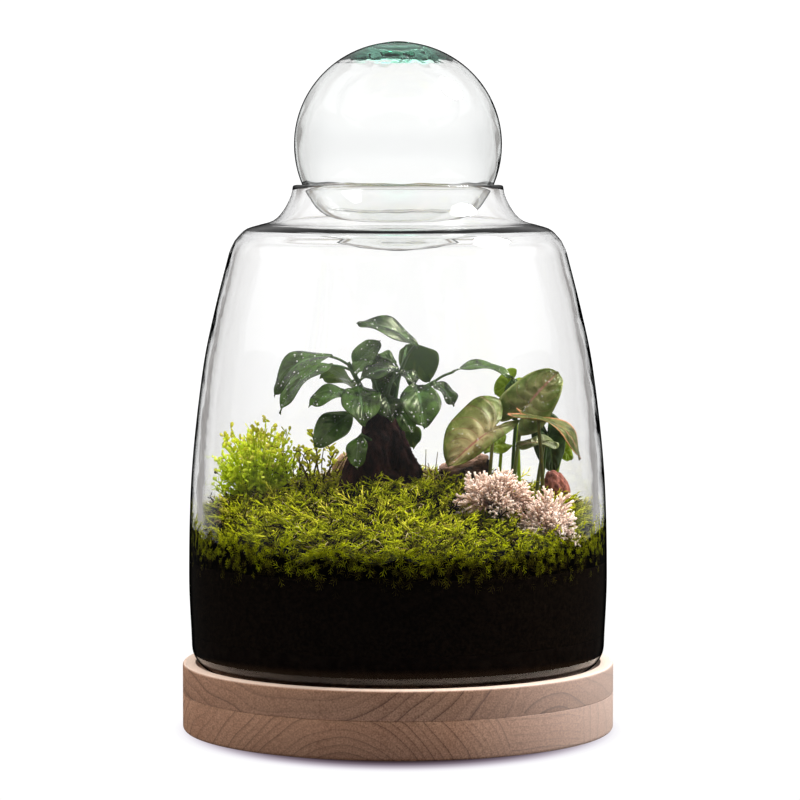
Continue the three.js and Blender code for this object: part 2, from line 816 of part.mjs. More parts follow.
const finds = new THREE.Group();
finds.add(
  mesh('lichen_left', lichenClump([54, -50, 136], [16, 13, 15], 34, 3), lichenPink),
  mesh('lichen_right', lichenClump([82, -59, 120], [14, 13, 18], 38, 5), lichenPink),
  mesh('bark_chip', restOnMoss(barkChip), matt('#4a342a', 0.85)),
  mesh('stone_red', restOnMoss(boulder([91, -6, 138], [8, 6, 11], 20, 0.15)), matt('#6b3b30', 0.8)),
  mesh('stone_brown', restOnMoss(boulder([-31, 30, 147], [8, 6, 9], 40, 0.12)), matt('#9c7b5c', 0.8)),
);
twigPaths.forEach((path, i) => finds.add(mesh(`dry_twig_${i + 1}`, twig(path), matt('#4b3a2a', 0.85))));

terrarium.add(base, mesh('glass_jar', jarBody, jarGlass), stopper, ground, plants, finds);

export default terrarium;
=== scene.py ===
"""A closed plant terrarium: a blown jar with a ball stopper on a beech board, planted inside.

All sizes in the classes are millimetres, with +Z up, the origin in the middle of the board's
underside and the front facing -Y. A mesh is written in metres.
"""

import logging
from collections.abc import Callable
from dataclasses import dataclass
from enum import Enum
from functools import partial

import bpy
import numpy as np
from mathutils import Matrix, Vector
from numpy.typing import NDArray

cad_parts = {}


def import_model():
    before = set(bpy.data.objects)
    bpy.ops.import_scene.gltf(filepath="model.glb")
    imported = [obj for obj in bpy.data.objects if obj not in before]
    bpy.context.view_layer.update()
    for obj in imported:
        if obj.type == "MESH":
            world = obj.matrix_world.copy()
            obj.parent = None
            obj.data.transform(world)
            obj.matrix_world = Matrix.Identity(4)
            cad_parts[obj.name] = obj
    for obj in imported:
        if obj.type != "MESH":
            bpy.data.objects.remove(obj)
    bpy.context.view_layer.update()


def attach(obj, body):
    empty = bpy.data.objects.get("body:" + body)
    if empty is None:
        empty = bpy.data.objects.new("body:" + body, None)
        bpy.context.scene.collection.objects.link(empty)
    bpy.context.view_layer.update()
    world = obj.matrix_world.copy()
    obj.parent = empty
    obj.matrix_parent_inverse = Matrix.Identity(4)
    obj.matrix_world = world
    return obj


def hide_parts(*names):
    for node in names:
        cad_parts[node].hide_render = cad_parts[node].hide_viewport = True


Array = NDArray[np.float64]
Point = tuple[float, float, float]
Pair = tuple[float, float]
Stops = tuple[tuple[float, str], ...]
Tree = bpy.types.NodeTree
Socket = bpy.types.NodeSocket
# add_node, bound to the tree of one material
Adder = Callable[..., Socket]

log = logging.getLogger("terrarium")

MM = 0.001
BODY = "root"
# settings of a node that mixes two colours, and of one that multiplies them
BLEND = {"out": 2, "data_type": "RGBA"}
DARKEN = {**BLEND, "blend_type": "MULTIPLY"}
# the angle from a leaf or branch to the next one round its stem, nearly the golden angle
LEAF_TURN = 2.4
# every material that has been made, by its name
MATERIALS: dict[str, bpy.types.Material] = {}


# Small calculations


def unit(vectors: Array) -> Array:
    """Vectors scaled to length one."""
    return vectors / np.maximum(np.linalg.norm(vectors, axis=-1, keepdims=True), 1e-9)


def smoothstep(low: float, high: float, value: Array | float) -> Array:
    """A rise from 0 at low to 1 at high: 3 s^2 - 2 s^3, with s the share of the way."""
    share = np.clip((np.asarray(value, float) - low) / (high - low), 0, 1)
    return share * share * (3 - 2 * share)


def spline(points: Array | tuple, shares: Array) -> Array:
    """Points on an even Catmull-Rom curve.

    Args:
        points: The curve's points, (n, k).
        shares: Where to read the curve, from 0 at the first point to 1 at the last.

    Returns:
        One point for each share: half of 2 b + (c - a) t + (2 a - 5 b + 4 c - d) t^2
        + (3 b - a - 3 c + d) t^3, with a, b, c and d the four points round the place.
    """
    knots = np.asarray(points, float)
    place = np.clip(np.asarray(shares, float), 0, 1) * (len(knots) - 1)
    step = np.minimum(place.astype(int), len(knots) - 2)
    t = (place - step)[..., None]
    a, b, c, d = (knots[np.clip(step + i, 0, len(knots) - 1)] for i in (-1, 0, 1, 2))
    cubic = (2 * a - 5 * b + 4 * c - d) * t**2 + (3 * b - a - 3 * c + d) * t**3
    return 0.5 * (2 * b + (c - a) * t + cubic)


def arc(centre: Pair, radius: float, start: float, end: float, count: int) -> Array:
    """Points on a circle in a profile: centre + radius (cos a, sin a), with a in degrees."""
    angle = np.radians(np.linspace(start, end, count))
    return np.stack([centre[0] + radius * np.cos(angle), centre[1] + radius * np.sin(angle)], -1)


def on_axis(height: float) -> Array:
    """A point on the z axis that closes a stack of rings."""
    return np.array([[0.0, 0.0, height]])


def full_circle(sides: int) -> Array:
    """Even angles round the z axis, from +X on."""
    return 2 * np.pi * np.arange(sides) / sides


def around(radius: Array | float, turn: Array, height: Array | float) -> Array:
    """Points at a radius, an angle and a height: (r cos a, r sin a, z)."""
    flat = (radius * np.cos(turn), radius * np.sin(turn))
    return np.stack(np.broadcast_arrays(*flat, height), -1)


def held_within(points: Array, limit: Array) -> Array:
    """Brings points that are too far out straight back towards the z axis.

    Args:
        points: The points, (n, 3).
        limit: The largest radius for each, (n,).

    Returns:
        The points, with x and y scaled by limit / radius where the radius is over the limit.
    """
    radius = np.hypot(points[:, 0], points[:, 1])
    squeeze = np.where(radius > limit, limit / np.maximum(radius, 1e-6), 1)
    return points * np.stack([squeeze, squeeze, np.ones_like(squeeze)], -1)


def ripples(points: Array, wavelength: float, seed: int, waves: int = 7) -> Array:
    """A smooth uneven field from crossed sine waves.

    Args:
        points: Where it is read, (..., 3).
        wavelength: The rough distance between two crests.
        seed: Which field.
        waves: How many waves are added.

    Returns:
        The sum of sin(direction . point / wavelength + phase) over seeded directions, 0.7 to
        1.4 long, and phases, scaled to about -1 to 1.
    """
    draw = np.random.default_rng(seed)
    directions = unit(draw.normal(size=(3, waves)).T).T * draw.uniform(0.7, 1.4, waves)
    phases = draw.uniform(0, 2 * np.pi, waves)
    total = np.sin(points @ directions * (2 * np.pi / wavelength) + phases).sum(-1)
    return total / waves**0.5 / 1.2


def golden_directions(count: int, lowest: float) -> Array:
    """Directions spread evenly over a ball, each a golden angle on from the one before.

    Args:
        count: How many.
        lowest: The height share they go down to, from 1 at the top to -1 at the foot.

    Returns:
        Unit vectors at even steps of height, (count, 3).
    """
    order = np.arange(count)
    z = 1 + (lowest - 1) * (order + 0.5) / count
    return around(np.sqrt(1 - z * z), order * np.pi * (3 - np.sqrt(5)), z)


def frames_along(directions: Array, facing: Array) -> Array:
    """Axes for copies: z along each direction, y as near to facing as it can be.

    Args:
        directions: Where each copy's z axis points, (n, 3).
        facing: Where each copy's y axis should point, (n, 3).

    Returns:
        (n, 3, 3), with the copy's x, y and z axes as columns.
    """
    z = unit(directions)
    y = unit(facing - (facing * z).sum(-1, keepdims=True) * z)
    return np.stack([np.cross(y, z), y, z], -1)


# Shapes as arrays


@dataclass
class Shape:
    """Points, triangles and per-point values of a piece.

    uv holds the share round or across a surface and the share along it. tone and side are marks
    from 0 to 1, and the piece's finish says what it reads from them: tone is a shoot's or leaf's
    own shade, darkened by painted shade on low moss shoots, thick glass or torn bark, and side is
    a leaf's underside, the glass's inner skin, which has no painted outline, or the board's top,
    which gets painted light.
    """

    points: Array
    faces: NDArray[np.int64]
    uv: Array
    tone: Array
    side: Array

    def copies(self, places: Array, frames: Array, sizes: Array, tones: Array) -> "Shape":
        """This shape at many places.

        Args:
            places: Where each copy's origin goes, (n, 3).
            frames: Its axes as columns, (n, 3, 3).
            sizes: Its scale, (n,) or (n, 3) along its own axes.
            tones: Its tone, (n,).

        Returns:
            All copies as one shape: place + axes . (size point).
        """
        count = len(places)
        scale = sizes[:, None, None] if sizes.ndim == 1 else sizes[:, None, :]
        grown = self.points[None] * scale
        points = np.einsum("nij,nkj->nki", frames, grown) + places[:, None]
        step = len(self.points) * np.arange(count)[:, None, None]
        return Shape(
            points.reshape(-1, 3),
            (self.faces[None] + step).reshape(-1, 3),
            np.tile(self.uv, (count, 1)),
            np.repeat(tones, len(self.points)),
            np.tile(self.side, count),
        )

    def normals(self) -> Array:
        """A unit normal for each point, from the area-weighted faces round it."""
        a, b, c = (self.points[self.faces[:, i]] for i in range(3))
        across = np.cross(b - a, c - a)
        total = np.zeros_like(self.points)
        for i in range(3):
            np.add.at(total, self.faces[:, i], across)
        return unit(total)


def joined(*shapes: Shape) -> Shape:
    """Several shapes as one."""
    starts = np.cumsum([0] + [len(s.points) for s in shapes[:-1]])
    faces = [s.faces + start for s, start in zip(shapes, starts)]
    values = ([getattr(s, key) for s in shapes] for key in ("points", "uv", "tone", "side"))
    points, uv, tone, side = (np.concatenate(value) for value in values)
    return Shape(points, np.concatenate(faces), uv, tone, side)


def skins(rings: Array, starts: Array, ends: Array, tones: Array | None = None) -> Shape:
    """Closed skins through stacks of rings, all at once.

    Point (i, j) is joined to its neighbours (i, j + 1) and (i + 1, j), the ring closes on
    itself, and the first and last rings run together in one point each.

    Args:
        rings: (n, rows, columns, 3), counter-clockwise as seen from the end they run to.
        starts: The closing point before the first ring, (n, 3).
        ends: The closing point after the last ring, (n, 3).
        tones: Each skin's tone, (n,).

    Returns:
        The skins as one shape; uv is the share round the ring and the share from start to end.
    """
    count, rows, columns = rings.shape[:3]
    points = np.concatenate([starts[:, None], rings.reshape(count, -1, 3), ends[:, None]], 1)
    row, column = np.meshgrid(np.arange(rows - 1), np.arange(columns), indexing="ij")
    a = 1 + row * columns + column
    b = 1 + row * columns + (column + 1) % columns
    quads = np.stack([a, b, b + columns, a, b + columns, a + columns], -1).reshape(-1, 3)
    first = 1 + np.arange(columns)
    after = 1 + (np.arange(columns) + 1) % columns
    last = first + (rows - 1) * columns
    final = np.full(columns, 1 + rows * columns)
    foot = np.stack([np.zeros(columns, int), after, first], -1)
    head = np.stack([final, last, after + (rows - 1) * columns], -1)
    template = np.concatenate([foot, quads, head])
    faces = (template[None] + np.arange(count)[:, None, None] * points.shape[1]).reshape(-1, 3)
    u, v = np.meshgrid(np.arange(columns) / columns, np.arange(1, rows + 1) / (rows + 1))
    uv = np.concatenate([[[0.5, 0]], np.stack([u.ravel(), v.ravel()], -1), [[0.5, 1]]])
    shade = np.zeros(count) if tones is None else tones
    return Shape(
        points.reshape(-1, 3),
        faces,
        np.tile(uv, (count, 1)),
        np.repeat(shade, points.shape[1]),
        np.zeros(points.shape[0] * points.shape[1]),
    )


def turned(profile: Array, sides: int) -> Shape:
    """A closed body about the z axis, whose profile (r, z) runs from axis to axis."""
    rings = around(profile[1:-1, 0:1], full_circle(sides), profile[1:-1, 1:2])
    return skins(rings[None], on_axis(profile[0, 1]), on_axis(profile[-1, 1]))


def rings_along(paths: Array, radii: Array, sides: int) -> Array:
    """Rings square to many paths at once.

    A ring point is path + radius (cos a * side + sin a * up), with side and up square to the
    path and to each other.

    Args:
        paths: (n, steps, 3).
        radii: (n, steps) or (steps,).
        sides: How many segments round.

    Returns:
        The rings, (n, steps, sides, 3).
    """
    tangent = unit(np.gradient(paths, axis=1))
    mean = np.abs(tangent.mean(1))
    helper = np.eye(3)[np.argmin(mean, axis=1)][:, None]
    side = unit(np.cross(helper, tangent))
    up = np.cross(tangent, side)
    angle = full_circle(sides)
    reach = np.broadcast_to(radii, paths.shape[:2])[..., None, None]
    spoke = np.cos(angle)[:, None] * side[:, :, None] + np.sin(angle)[:, None] * up[:, :, None]
    return paths[:, :, None] + reach * spoke


def tubes(paths: Array, radii: Array, sides: int, tones: Array | None = None) -> Shape:
    """Round tubes along many paths at once, closed at both ends, with a radius at each step."""
    return skins(rings_along(paths, radii, sides), paths[:, 0], paths[:, -1], tones)


def spindles(paths: Array, radii: Array) -> Shape:
    """Three-sided threads along many paths at once, which run to a point at both ends."""
    return skins(rings_along(paths, radii, 3)[:, 1:-1], paths[:, 0], paths[:, -1])


def ball_shape(rows: int, columns: int) -> Shape:
    """A ball of radius one, from rings of latitude."""
    latitude = np.pi * np.arange(0, rows + 2) / (rows + 1) - np.pi / 2
    return turned(np.stack([np.cos(latitude), np.sin(latitude)], -1), columns)


def boulder(centre: Point, size: Point, roughness: float, grain: float, seed: int) -> Shape:
    """A rough lump: a stretched ball whose skin is moved by ripples of three sizes.

    Args:
        centre: Its middle.
        size: Its half widths.
        roughness: How far the broad ripples move the skin, as a share of the radius.
        grain: The wavelength of the finest ripples, as a share of the radius.
        seed: Which lump.

    Returns:
        Centre + size . (unit ball (1 + roughness . ripples)).
    """
    lump = ball_shape(46, 72)
    bumps = ripples(lump.points, 1.6, seed) + 0.45 * ripples(lump.points, 0.5, seed + 1)
    fine = ripples(lump.points, grain, seed + 2, 16)
    lump.points = lump.points * (1 + roughness * bumps + 0.25 * roughness * fine)[:, None]
    lump.points = lump.points * np.array(size) + np.array(centre)
    return lump


def placed(name: str, data: bpy.types.ID) -> bpy.types.Object:
    """A new object of the scene, from a mesh, a lamp or a camera."""
    made = bpy.data.objects.new(name, data)
    bpy.context.scene.collection.objects.link(made)
    return made


def remeshed(shape: Shape, voxel: float) -> Shape:
    """The outer skin of overlapping bodies, rebuilt on a lattice.

    Args:
        shape: The bodies.
        voxel: The lattice spacing.

    Returns:
        One closed skin.
    """
    rough = write_mesh("rough", shape, smooth=False)
    piece = placed("rough", rough)
    modifier = piece.modifiers.new("skin", "REMESH")
    modifier.mode = "VOXEL"
    modifier.voxel_size = voxel * MM
    evaluated = piece.evaluated_get(bpy.context.evaluated_depsgraph_get())
    mesh = evaluated.to_mesh()
    mesh.calc_loop_triangles()
    points = np.empty(len(mesh.vertices) * 3, np.float32)
    faces = np.empty(len(mesh.loop_triangles) * 3, np.int32)
    mesh.vertices.foreach_get("co", points)
    mesh.loop_triangles.foreach_get("vertices", faces)
    evaluated.to_mesh_clear()
    bpy.data.objects.remove(piece)
    bpy.data.meshes.remove(rough)
    points = points.reshape(-1, 3).astype(float) / MM
    zero = np.zeros((len(points), 4))
    return Shape(points, faces.reshape(-1, 3).astype(int), zero[:, :2], zero[:, 2], zero[:, 3])


def write_mesh(name: str, shape: Shape, smooth: bool = True) -> bpy.types.Mesh:
    """Puts a shape into a new mesh, in metres, with its UV map, tone and side.

    Args:
        name: The mesh's name.
        shape: The shape.
        smooth: Whether its faces are shaded smooth.

    Returns:
        The mesh.
    """
    mesh = bpy.data.meshes.new(name)
    count = len(shape.faces)
    mesh.vertices.add(len(shape.points))
    mesh.vertices.foreach_set("co", (shape.points * MM).astype(np.float32).ravel())
    mesh.loops.add(count * 3)
    mesh.loops.foreach_set("vertex_index", shape.faces.astype(np.int32).ravel())
    mesh.polygons.add(count)
    mesh.polygons.foreach_set("loop_start", np.arange(0, count * 3, 3, dtype=np.int32))
    mesh.polygons.foreach_set("loop_total", np.full(count, 3, np.int32))
    mesh.polygons.foreach_set("use_smooth", np.full(count, smooth))
    layer = mesh.uv_layers.new(name="UVMap")
    layer.uv.foreach_set("vector", shape.uv[shape.faces.ravel()].astype(np.float32).ravel())
    for key, values in (("tone", shape.tone), ("side", shape.side)):
        mark = mesh.attributes.new(key, "FLOAT", "POINT")
        mark.data.foreach_set("value", values.astype(np.float32))
    mesh.update(calc_edges=True)
    mesh.validate()
    return mesh


def linear(colour: str) -> tuple[float, float, float, float]:
    """An sRGB hex colour as linear light.

    Args:
        colour: The colour, such as "#a07d68".

    Returns:
        Linear red, green, blue and alpha, by the sRGB curve's straight foot and power.
    """
    parts = [int(colour[i : i + 2], 16) / 255 for i in (1, 3, 5)]
    straight = [c / 12.92 if c <= 0.04045 else ((c + 0.055) / 1.055) ** 2.4 for c in parts]
    return (*straight, 1.0)


def add_node(tree: Tree, kind: str, inputs: dict | None = None, out: str | int = 0,
             stops: Stops = (), **settings: object) -> Socket | None:
    """Adds a shader node, with its settings and links.

    Args:
        tree: The node tree.
        kind: The node's type without "ShaderNode", and its operation after a dot.
        inputs: Input name or number, and a value, a hex colour or the output it is linked to.
        out: The output that is wanted.
        stops: Places and hex colours of a colour ramp.
        settings: Properties of the node.

    Returns:
        The wanted output, or None for a node that has none.
    """
    kind, _, operation = kind.partition(".")
    node = tree.nodes.new("ShaderNode" + kind)
    if operation:
        node.operation = operation
    for key, value in settings.items():
        setattr(node, key, value)
    for key, value in (inputs or {}).items():
        if isinstance(value, bpy.types.NodeSocket):
            tree.links.new(value, node.inputs[key])
        else:
            node.inputs[key].default_value = linear(value) if isinstance(value, str) else value
    if stops:
        elements = node.color_ramp.elements
        elements.remove(elements[1])
        elements[0].position = stops[0][0]
        elements[0].color = linear(stops[0][1])
        for place, colour in stops[1:]:
            elements.new(place).color = linear(colour)
    return node.outputs[out] if node.outputs else None


# Finishes


@dataclass(frozen=True)
class Finish:
    """What a surface is made of, as one node material."""

    name: str

    def surface(self, add: Adder) -> Socket:
        """The shader of the surface."""
        raise NotImplementedError

    def volume(self, add: Adder) -> Socket | None:
        """The shader of what is inside the surface, or None."""
        return None

    def material(self) -> bpy.types.Material:
        """The material, made once, with the finish's surface and volume as its output."""
        if self.name in MATERIALS:
            return MATERIALS[self.name]
        made = bpy.data.materials.new(self.name)
        MATERIALS[self.name] = made
        made.use_nodes = True
        made.node_tree.nodes.clear()
        add = partial(add_node, made.node_tree)
        shaders = {"Surface": self.surface(add)}
        inside = self.volume(add)
        if inside:
            shaders["Volume"] = inside
        add("OutputMaterial", shaders)
        return made


def lit_through(add: Adder, shader: Socket, tint: str) -> Socket:
    """Lets lamp light and diffuse light pass straight through a clear surface.

    Args:
        add: Adds a node to the material.
        shader: How the surface looks.
        tint: The colour of the light that passes.

    Returns:
        The shader that is transparent for shadow rays and diffuse rays.
    """
    clear = add("BsdfTransparent", {"Color": tint})
    for ray in ("Is Shadow Ray", "Is Diffuse Ray"):
        passes = add("LightPath", out=ray)
        shader = add("MixShader", {0: passes, 1: shader, 2: clear})
    return shader


@dataclass(frozen=True)
class BlownGlass(Finish):
    """Soda-lime glass, blown and fire-polished.

    It is clear and smooth, with a trace of iron that shows as aqua where it is thick. Its outline
    is painted dark at grazing angles, as painted shade for the light that comes through the rim
    from the dark side of the room. The shape's side marks the inner skin, which has no painted
    outline, and its tone marks thick glass, which can take a share of painted light.
    """

    tint: str = "#fefefe"
    edge: str = "#3c3f3e"  # the outline, seen at a grazing angle
    painted_outline_band: Pair = (0.81, 0.88)  # the grazing shares over which tint turns into edge
    pool: str = "#8fd6bf"  # thick glass
    painted_light_share: float = 0.0  # how much painted light, in the pool's colour, the thickest glass gets
    depth: str = "#7fd6bd"  # the colour that light takes on its way through
    density: float = 0.0  # how fast, for each metre; 0 is not at all

    def surface(self, add: Adder) -> Socket:
        """Glass with a painted dark outline; lamp light and diffuse light pass straight through.

        Args:
            add: Adds a node to the material.

        Returns:
            The shader.
        """
        # painted shade: the outer skin turns to the edge colour at grazing angles
        grazing = add("LayerWeight", {"Blend": 0.5}, "Facing")
        side = add("Attribute", out="Fac", attribute_name="side")
        outer = add("Math.SUBTRACT", {0: 1.0, 1: side})
        rim = add("Math.MULTIPLY", {0: grazing, 1: outer})
        start, full = self.painted_outline_band
        stops = ((0.0, self.tint), (start, self.tint), (full, self.edge), (1.0, self.edge))
        colour = add("ValToRGB", {"Fac": rim}, stops=stops)
        thick = add("Attribute", out="Fac", attribute_name="tone")
        colour = add("Mix", {0: thick, 6: colour, 7: self.pool}, **BLEND)
        glass = add("BsdfGlass", {"Color": colour, "Roughness": 0.0, "IOR": 1.5})
        if self.painted_light_share:
            # painted light: a translucent share in the pool's colour brightens the thickest glass
            middle = add("Math.POWER", {0: thick, 1: 2.0})
            share = add("Math.MULTIPLY", {0: middle, 1: self.painted_light_share})
            inner = add("BsdfTranslucent", {"Color": self.pool})
            glass = add("MixShader", {0: share, 1: glass, 2: inner})
        return lit_through(add, glass, self.tint)

    def volume(self, add: Adder) -> Socket | None:
        """The aqua that builds up with the length of the light's way, if it has a density."""
        depth = {"Color": self.depth, "Density": self.density}
        return add("VolumeAbsorption", depth) if self.density else None


@dataclass(frozen=True)
class SandedBeech(Finish):
    """Steamed beech, glued up, turned and sanded, without oil.

    It is pinkish brown and matt. The grain runs from front to back, so the front shows growth
    rings cut across, each with a thin darker line, between small pores. A layer is glued from
    staves, and each was sawn from another place in the trunk. Its top and the upper part of the
    rounded edge, which the shape's side marks, are painted paler as light from above, and both
    ends are painted paler as light from the sides.
    """

    pith: Pair  # where the middle of the growth rings lies, sideways and in height
    ring: float
    staves: tuple[tuple[float, Pair], ...]  # where each further one starts, and its own pith
    bend: float = 62.5  # the distance over which the rings wander off their circles and back
    wander: float = 16.0
    pores: Point = (1100.0, 90.0, 1100.0)  # for each metre along x, y and z
    patches: float = 22.0  # for each metre
    plain: str = "#9e7961"
    # the colours across one ring, with its dark line at 0.92
    growth: Stops = (
        (0.0, "#a27d65"), (0.55, "#a07b63"), (0.84, "#8e6b54"), (0.92, "#604030"), (1.0, "#9a755d"),
    )
    # painted light that makes the wood paler towards each end: where it starts sideways, where it
    # is strongest, by how much, and its colour
    painted_light_ends: tuple[tuple[float, float, float, str], ...] = (
        (30.0, 125.0, 0.6, "#a4968e"), (-10.0, -60.0, 0.12, "#b89478"),
    )
    # the colour of the painted light from above on the top and its upper edge
    painted_top_light: str = "#decaba"

    def centre(self, add: Adder, across: Socket) -> Socket:
        """The pith that belongs to a place: the first one, or that of the stave it lies in.

        Args:
            add: Adds a node to the material.
            across: The place's sideways value.

        Returns:
            The pith as a point.
        """
        chosen = add("CombineXYZ", {0: self.pith[0] * MM, 2: self.pith[1] * MM})
        for start, pith in self.staves:
            share = add("Math.GREATER_THAN", {0: across, 1: start * MM})
            ends = {0: share, 4: chosen, 5: (pith[0] * MM, 0.0, pith[1] * MM)}
            chosen = add("Mix", ends, 1, data_type="VECTOR")
        return chosen

    def rings(self, add: Adder, place: Socket, pith: Socket) -> Socket:
        """Growth rings, as the distance from a pith line that runs from front to back.

        Args:
            add: Adds a node to the material.
            place: The place on the wood.
            pith: The pith that belongs to it.

        Returns:
            The colour of the wood.
        """
        slow = {"Vector": place, "Scale": 1 / (self.bend * MM), "Detail": 1.5}
        drift = add("TexNoise", slow, "Color")
        amount = {0: drift, 1: (self.wander * MM,) * 3, 2: (-self.wander * MM / 2,) * 3}
        bent = add("VectorMath.MULTIPLY_ADD", amount)
        moved = add("VectorMath.ADD", {0: place, 1: bent})
        from_pith = add("VectorMath.SUBTRACT", {0: moved, 1: pith})
        # along the grain the rings hardly change
        section = add("VectorMath.MULTIPLY", {0: from_pith, 1: (1.0, 0.05, 1.0)})
        distance = add("VectorMath.LENGTH", {0: section}, "Value")
        number = add("Math.MULTIPLY", {0: distance, 1: 1 / (self.ring * MM)})
        share = add("Math.FRACT", {0: number})
        marked = add("ValToRGB", {"Fac": share}, stops=self.growth)
        # each ring has its own strength, so some lines are clear and some hardly show
        whole = add("Math.FLOOR", {0: number})
        strength = add("TexWhiteNoise", {"W": whole}, "Value", noise_dimensions="1D")
        clear = add("MapRange", {0: strength, 1: 0.1, 2: 0.8, 3: 0.3, 4: 1.0})
        return add("Mix", {0: clear, 6: self.plain, 7: marked}, **BLEND)

    def surface(self, add: Adder) -> Socket:
        """Growth rings under pores and patches, with painted light at both ends and the top.

        Args:
            add: Adds a node to the material.

        Returns:
            The shader.
        """
        place = add("TexCoord", out="Object")
        across = add("SeparateXYZ", {0: place}, "X")
        wood = self.rings(add, place, self.centre(add, across))
        fine = add("VectorMath.MULTIPLY", {0: place, 1: self.pores})
        pores = add("TexNoise", {"Vector": fine, "Scale": 1.0, "Detail": 3.0}, "Fac")
        broad = {"Vector": place, "Scale": self.patches, "Detail": 3.0}
        patch = add("TexNoise", broad, "Fac")
        shades = (
            (0.9, pores, ((0.3, "#a8927f"), (0.7, "#ffffff"))),
            (0.8, patch, ((0.25, "#e2d2c8"), (0.75, "#ffffff"))),
        )
        for strength, noise, stops in shades:
            shade = add("ValToRGB", {"Fac": noise}, stops=stops)
            wood = add("Mix", {0: strength, 6: wood, 7: shade}, **DARKEN)
        # painted light: paler towards both ends, as light from the sides, and on the top, as light
        # from above
        layers = []
        for start, end, most, colour in self.painted_light_ends:
            span = {0: across, 1: start * MM, 2: end * MM, 3: 0.0, 4: most}
            layers.append((add("MapRange", span), colour))
        edge = add("Attribute", out="Fac", attribute_name="side")
        for share, colour in (*layers, (edge, self.painted_top_light)):
            wood = add("Mix", {0: share, 6: wood, 7: colour}, **BLEND)
        height = add("Bump", {"Height": pores, "Strength": 0.12, "Distance": 0.6 * MM})
        look = {"Base Color": wood, "Roughness": 0.55, "Normal": height, "Specular IOR Level": 0.5}
        return add("BsdfPrincipled", look)


@dataclass(frozen=True)
class RoughMatter(Finish):
    """Something rough and dry with two shades: soil, lava, bark, stone or a twig.

    It is matt, its shades change in grains of a real size, and the darker ones lie deeper.
    """

    dark: str
    light: str
    grain: float
    stretch: Point = (1.0, 1.0, 1.0)  # how much finer the grain is along x, y and z
    roughness: float = 0.85
    relief: float = 0.4
    low: float = 0.35  # the noise up to which it is dark
    high: float = 0.65  # the noise from which it is light
    shine: float = 0.5
    bare: str | None = None  # its broken side, which the shape's tone marks

    def surface(self, add: Adder) -> Socket:
        """Two shades mixed by noise of the grain's size, which also lifts the surface.

        Args:
            add: Adds a node to the material.

        Returns:
            The shader.
        """
        place = add("TexCoord", out="Object")
        drawn = add("VectorMath.MULTIPLY", {0: place, 1: self.stretch})
        size = 1 / (self.grain * MM)
        look = {"Vector": drawn, "Scale": size, "Detail": 5.0, "Roughness": 0.6}
        noise = add("TexNoise", look, "Fac")
        stops = ((self.low, self.dark), (self.high, self.light))
        colour = add("ValToRGB", {"Fac": noise}, stops=stops)
        if self.bare is not None:
            # where the bark is broken off, the bare inner side shows between its fibres
            broken = add("Attribute", out="Fac", attribute_name="tone")
            torn = add("MapRange", {0: noise, 1: 0.3, 2: 0.5, 3: 0.3, 4: 1.0})
            share = add("Math.MULTIPLY", {0: broken, 1: torn})
            colour = add("Mix", {0: share, 6: colour, 7: self.bare}, **BLEND)
        lift = {"Height": noise, "Strength": self.relief, "Distance": self.grain * MM * 0.5}
        height = add("Bump", lift)
        look = {"Base Color": colour, "Roughness": self.roughness, "Normal": height,
                "Specular IOR Level": self.shine}
        return add("BsdfPrincipled", look)


@dataclass(frozen=True)
class ThinGrowth(Finish):
    """Moss, small leaves and lichen: thin living tissue that light shines through.

    It is matt, each shoot has its own shade, which the shape's tone chooses, the foot of a shoot
    is painted darker than its tip, as shade between the shoots, and light from behind makes it
    glow.
    """

    shades: Stops
    glow: str
    foot: float  # how bright the painted shade leaves the foot of a shoot, against its tip
    share: float = 0.3  # how much light comes through
    roughness: float = 0.6
    shine: float = 0.2
    tip: str = "#ffffff"
    tip_share: float = 0.0

    def surface(self, add: Adder) -> Socket:
        """The shoot's shade, with painted shade towards its foot, mixed with light from behind.

        Args:
            add: Adds a node to the material.

        Returns:
            The shader.
        """
        tone = add("Attribute", out="Fac", attribute_name="tone")
        colour = add("ValToRGB", {"Fac": tone}, stops=self.shades)
        # painted shade: each shoot darkens towards its foot
        length = add("SeparateXYZ", {0: add("TexCoord", out="UV")}, "Y")
        dim = add("MapRange", {0: length, 1: 0.0, 2: 0.7, 3: self.foot, 4: 1.0})
        grey = add("CombineColor", {0: dim, 1: dim, 2: dim})
        shaded = add("Mix", {0: 1.0, 6: colour, 7: grey}, **DARKEN)
        # dark shoots, withered ones and those darkened as painted shade, have no pale tip and don't
        # glow
        alive_and_lit = add("MapRange", {0: tone, 1: 0.0, 2: 0.3, 3: 0.0, 4: 1.0})
        end = add("MapRange", {0: length, 1: 0.7, 2: 1.0, 3: 0.0, 4: self.tip_share})
        end = add("Math.MULTIPLY", {0: end, 1: alive_and_lit})
        shaded = add("Mix", {0: end, 6: shaded, 7: self.tip}, **BLEND)
        skin = {"Base Color": shaded, "Roughness": self.roughness, "Specular IOR Level": self.shine}
        front = add("BsdfPrincipled", skin)
        own = add("Math.MULTIPLY", {0: alive_and_lit, 1: 0.6})
        lit = add("Mix", {0: own, 6: shaded, 7: self.glow}, **BLEND)
        # the light from behind gets the same painted shade at the foot
        lit = add("Mix", {0: 1.0, 6: lit, 7: grey}, **DARKEN)
        behind = add("BsdfTranslucent", {"Color": lit})
        return add("MixShader", {0: self.share, 1: front, 2: behind})


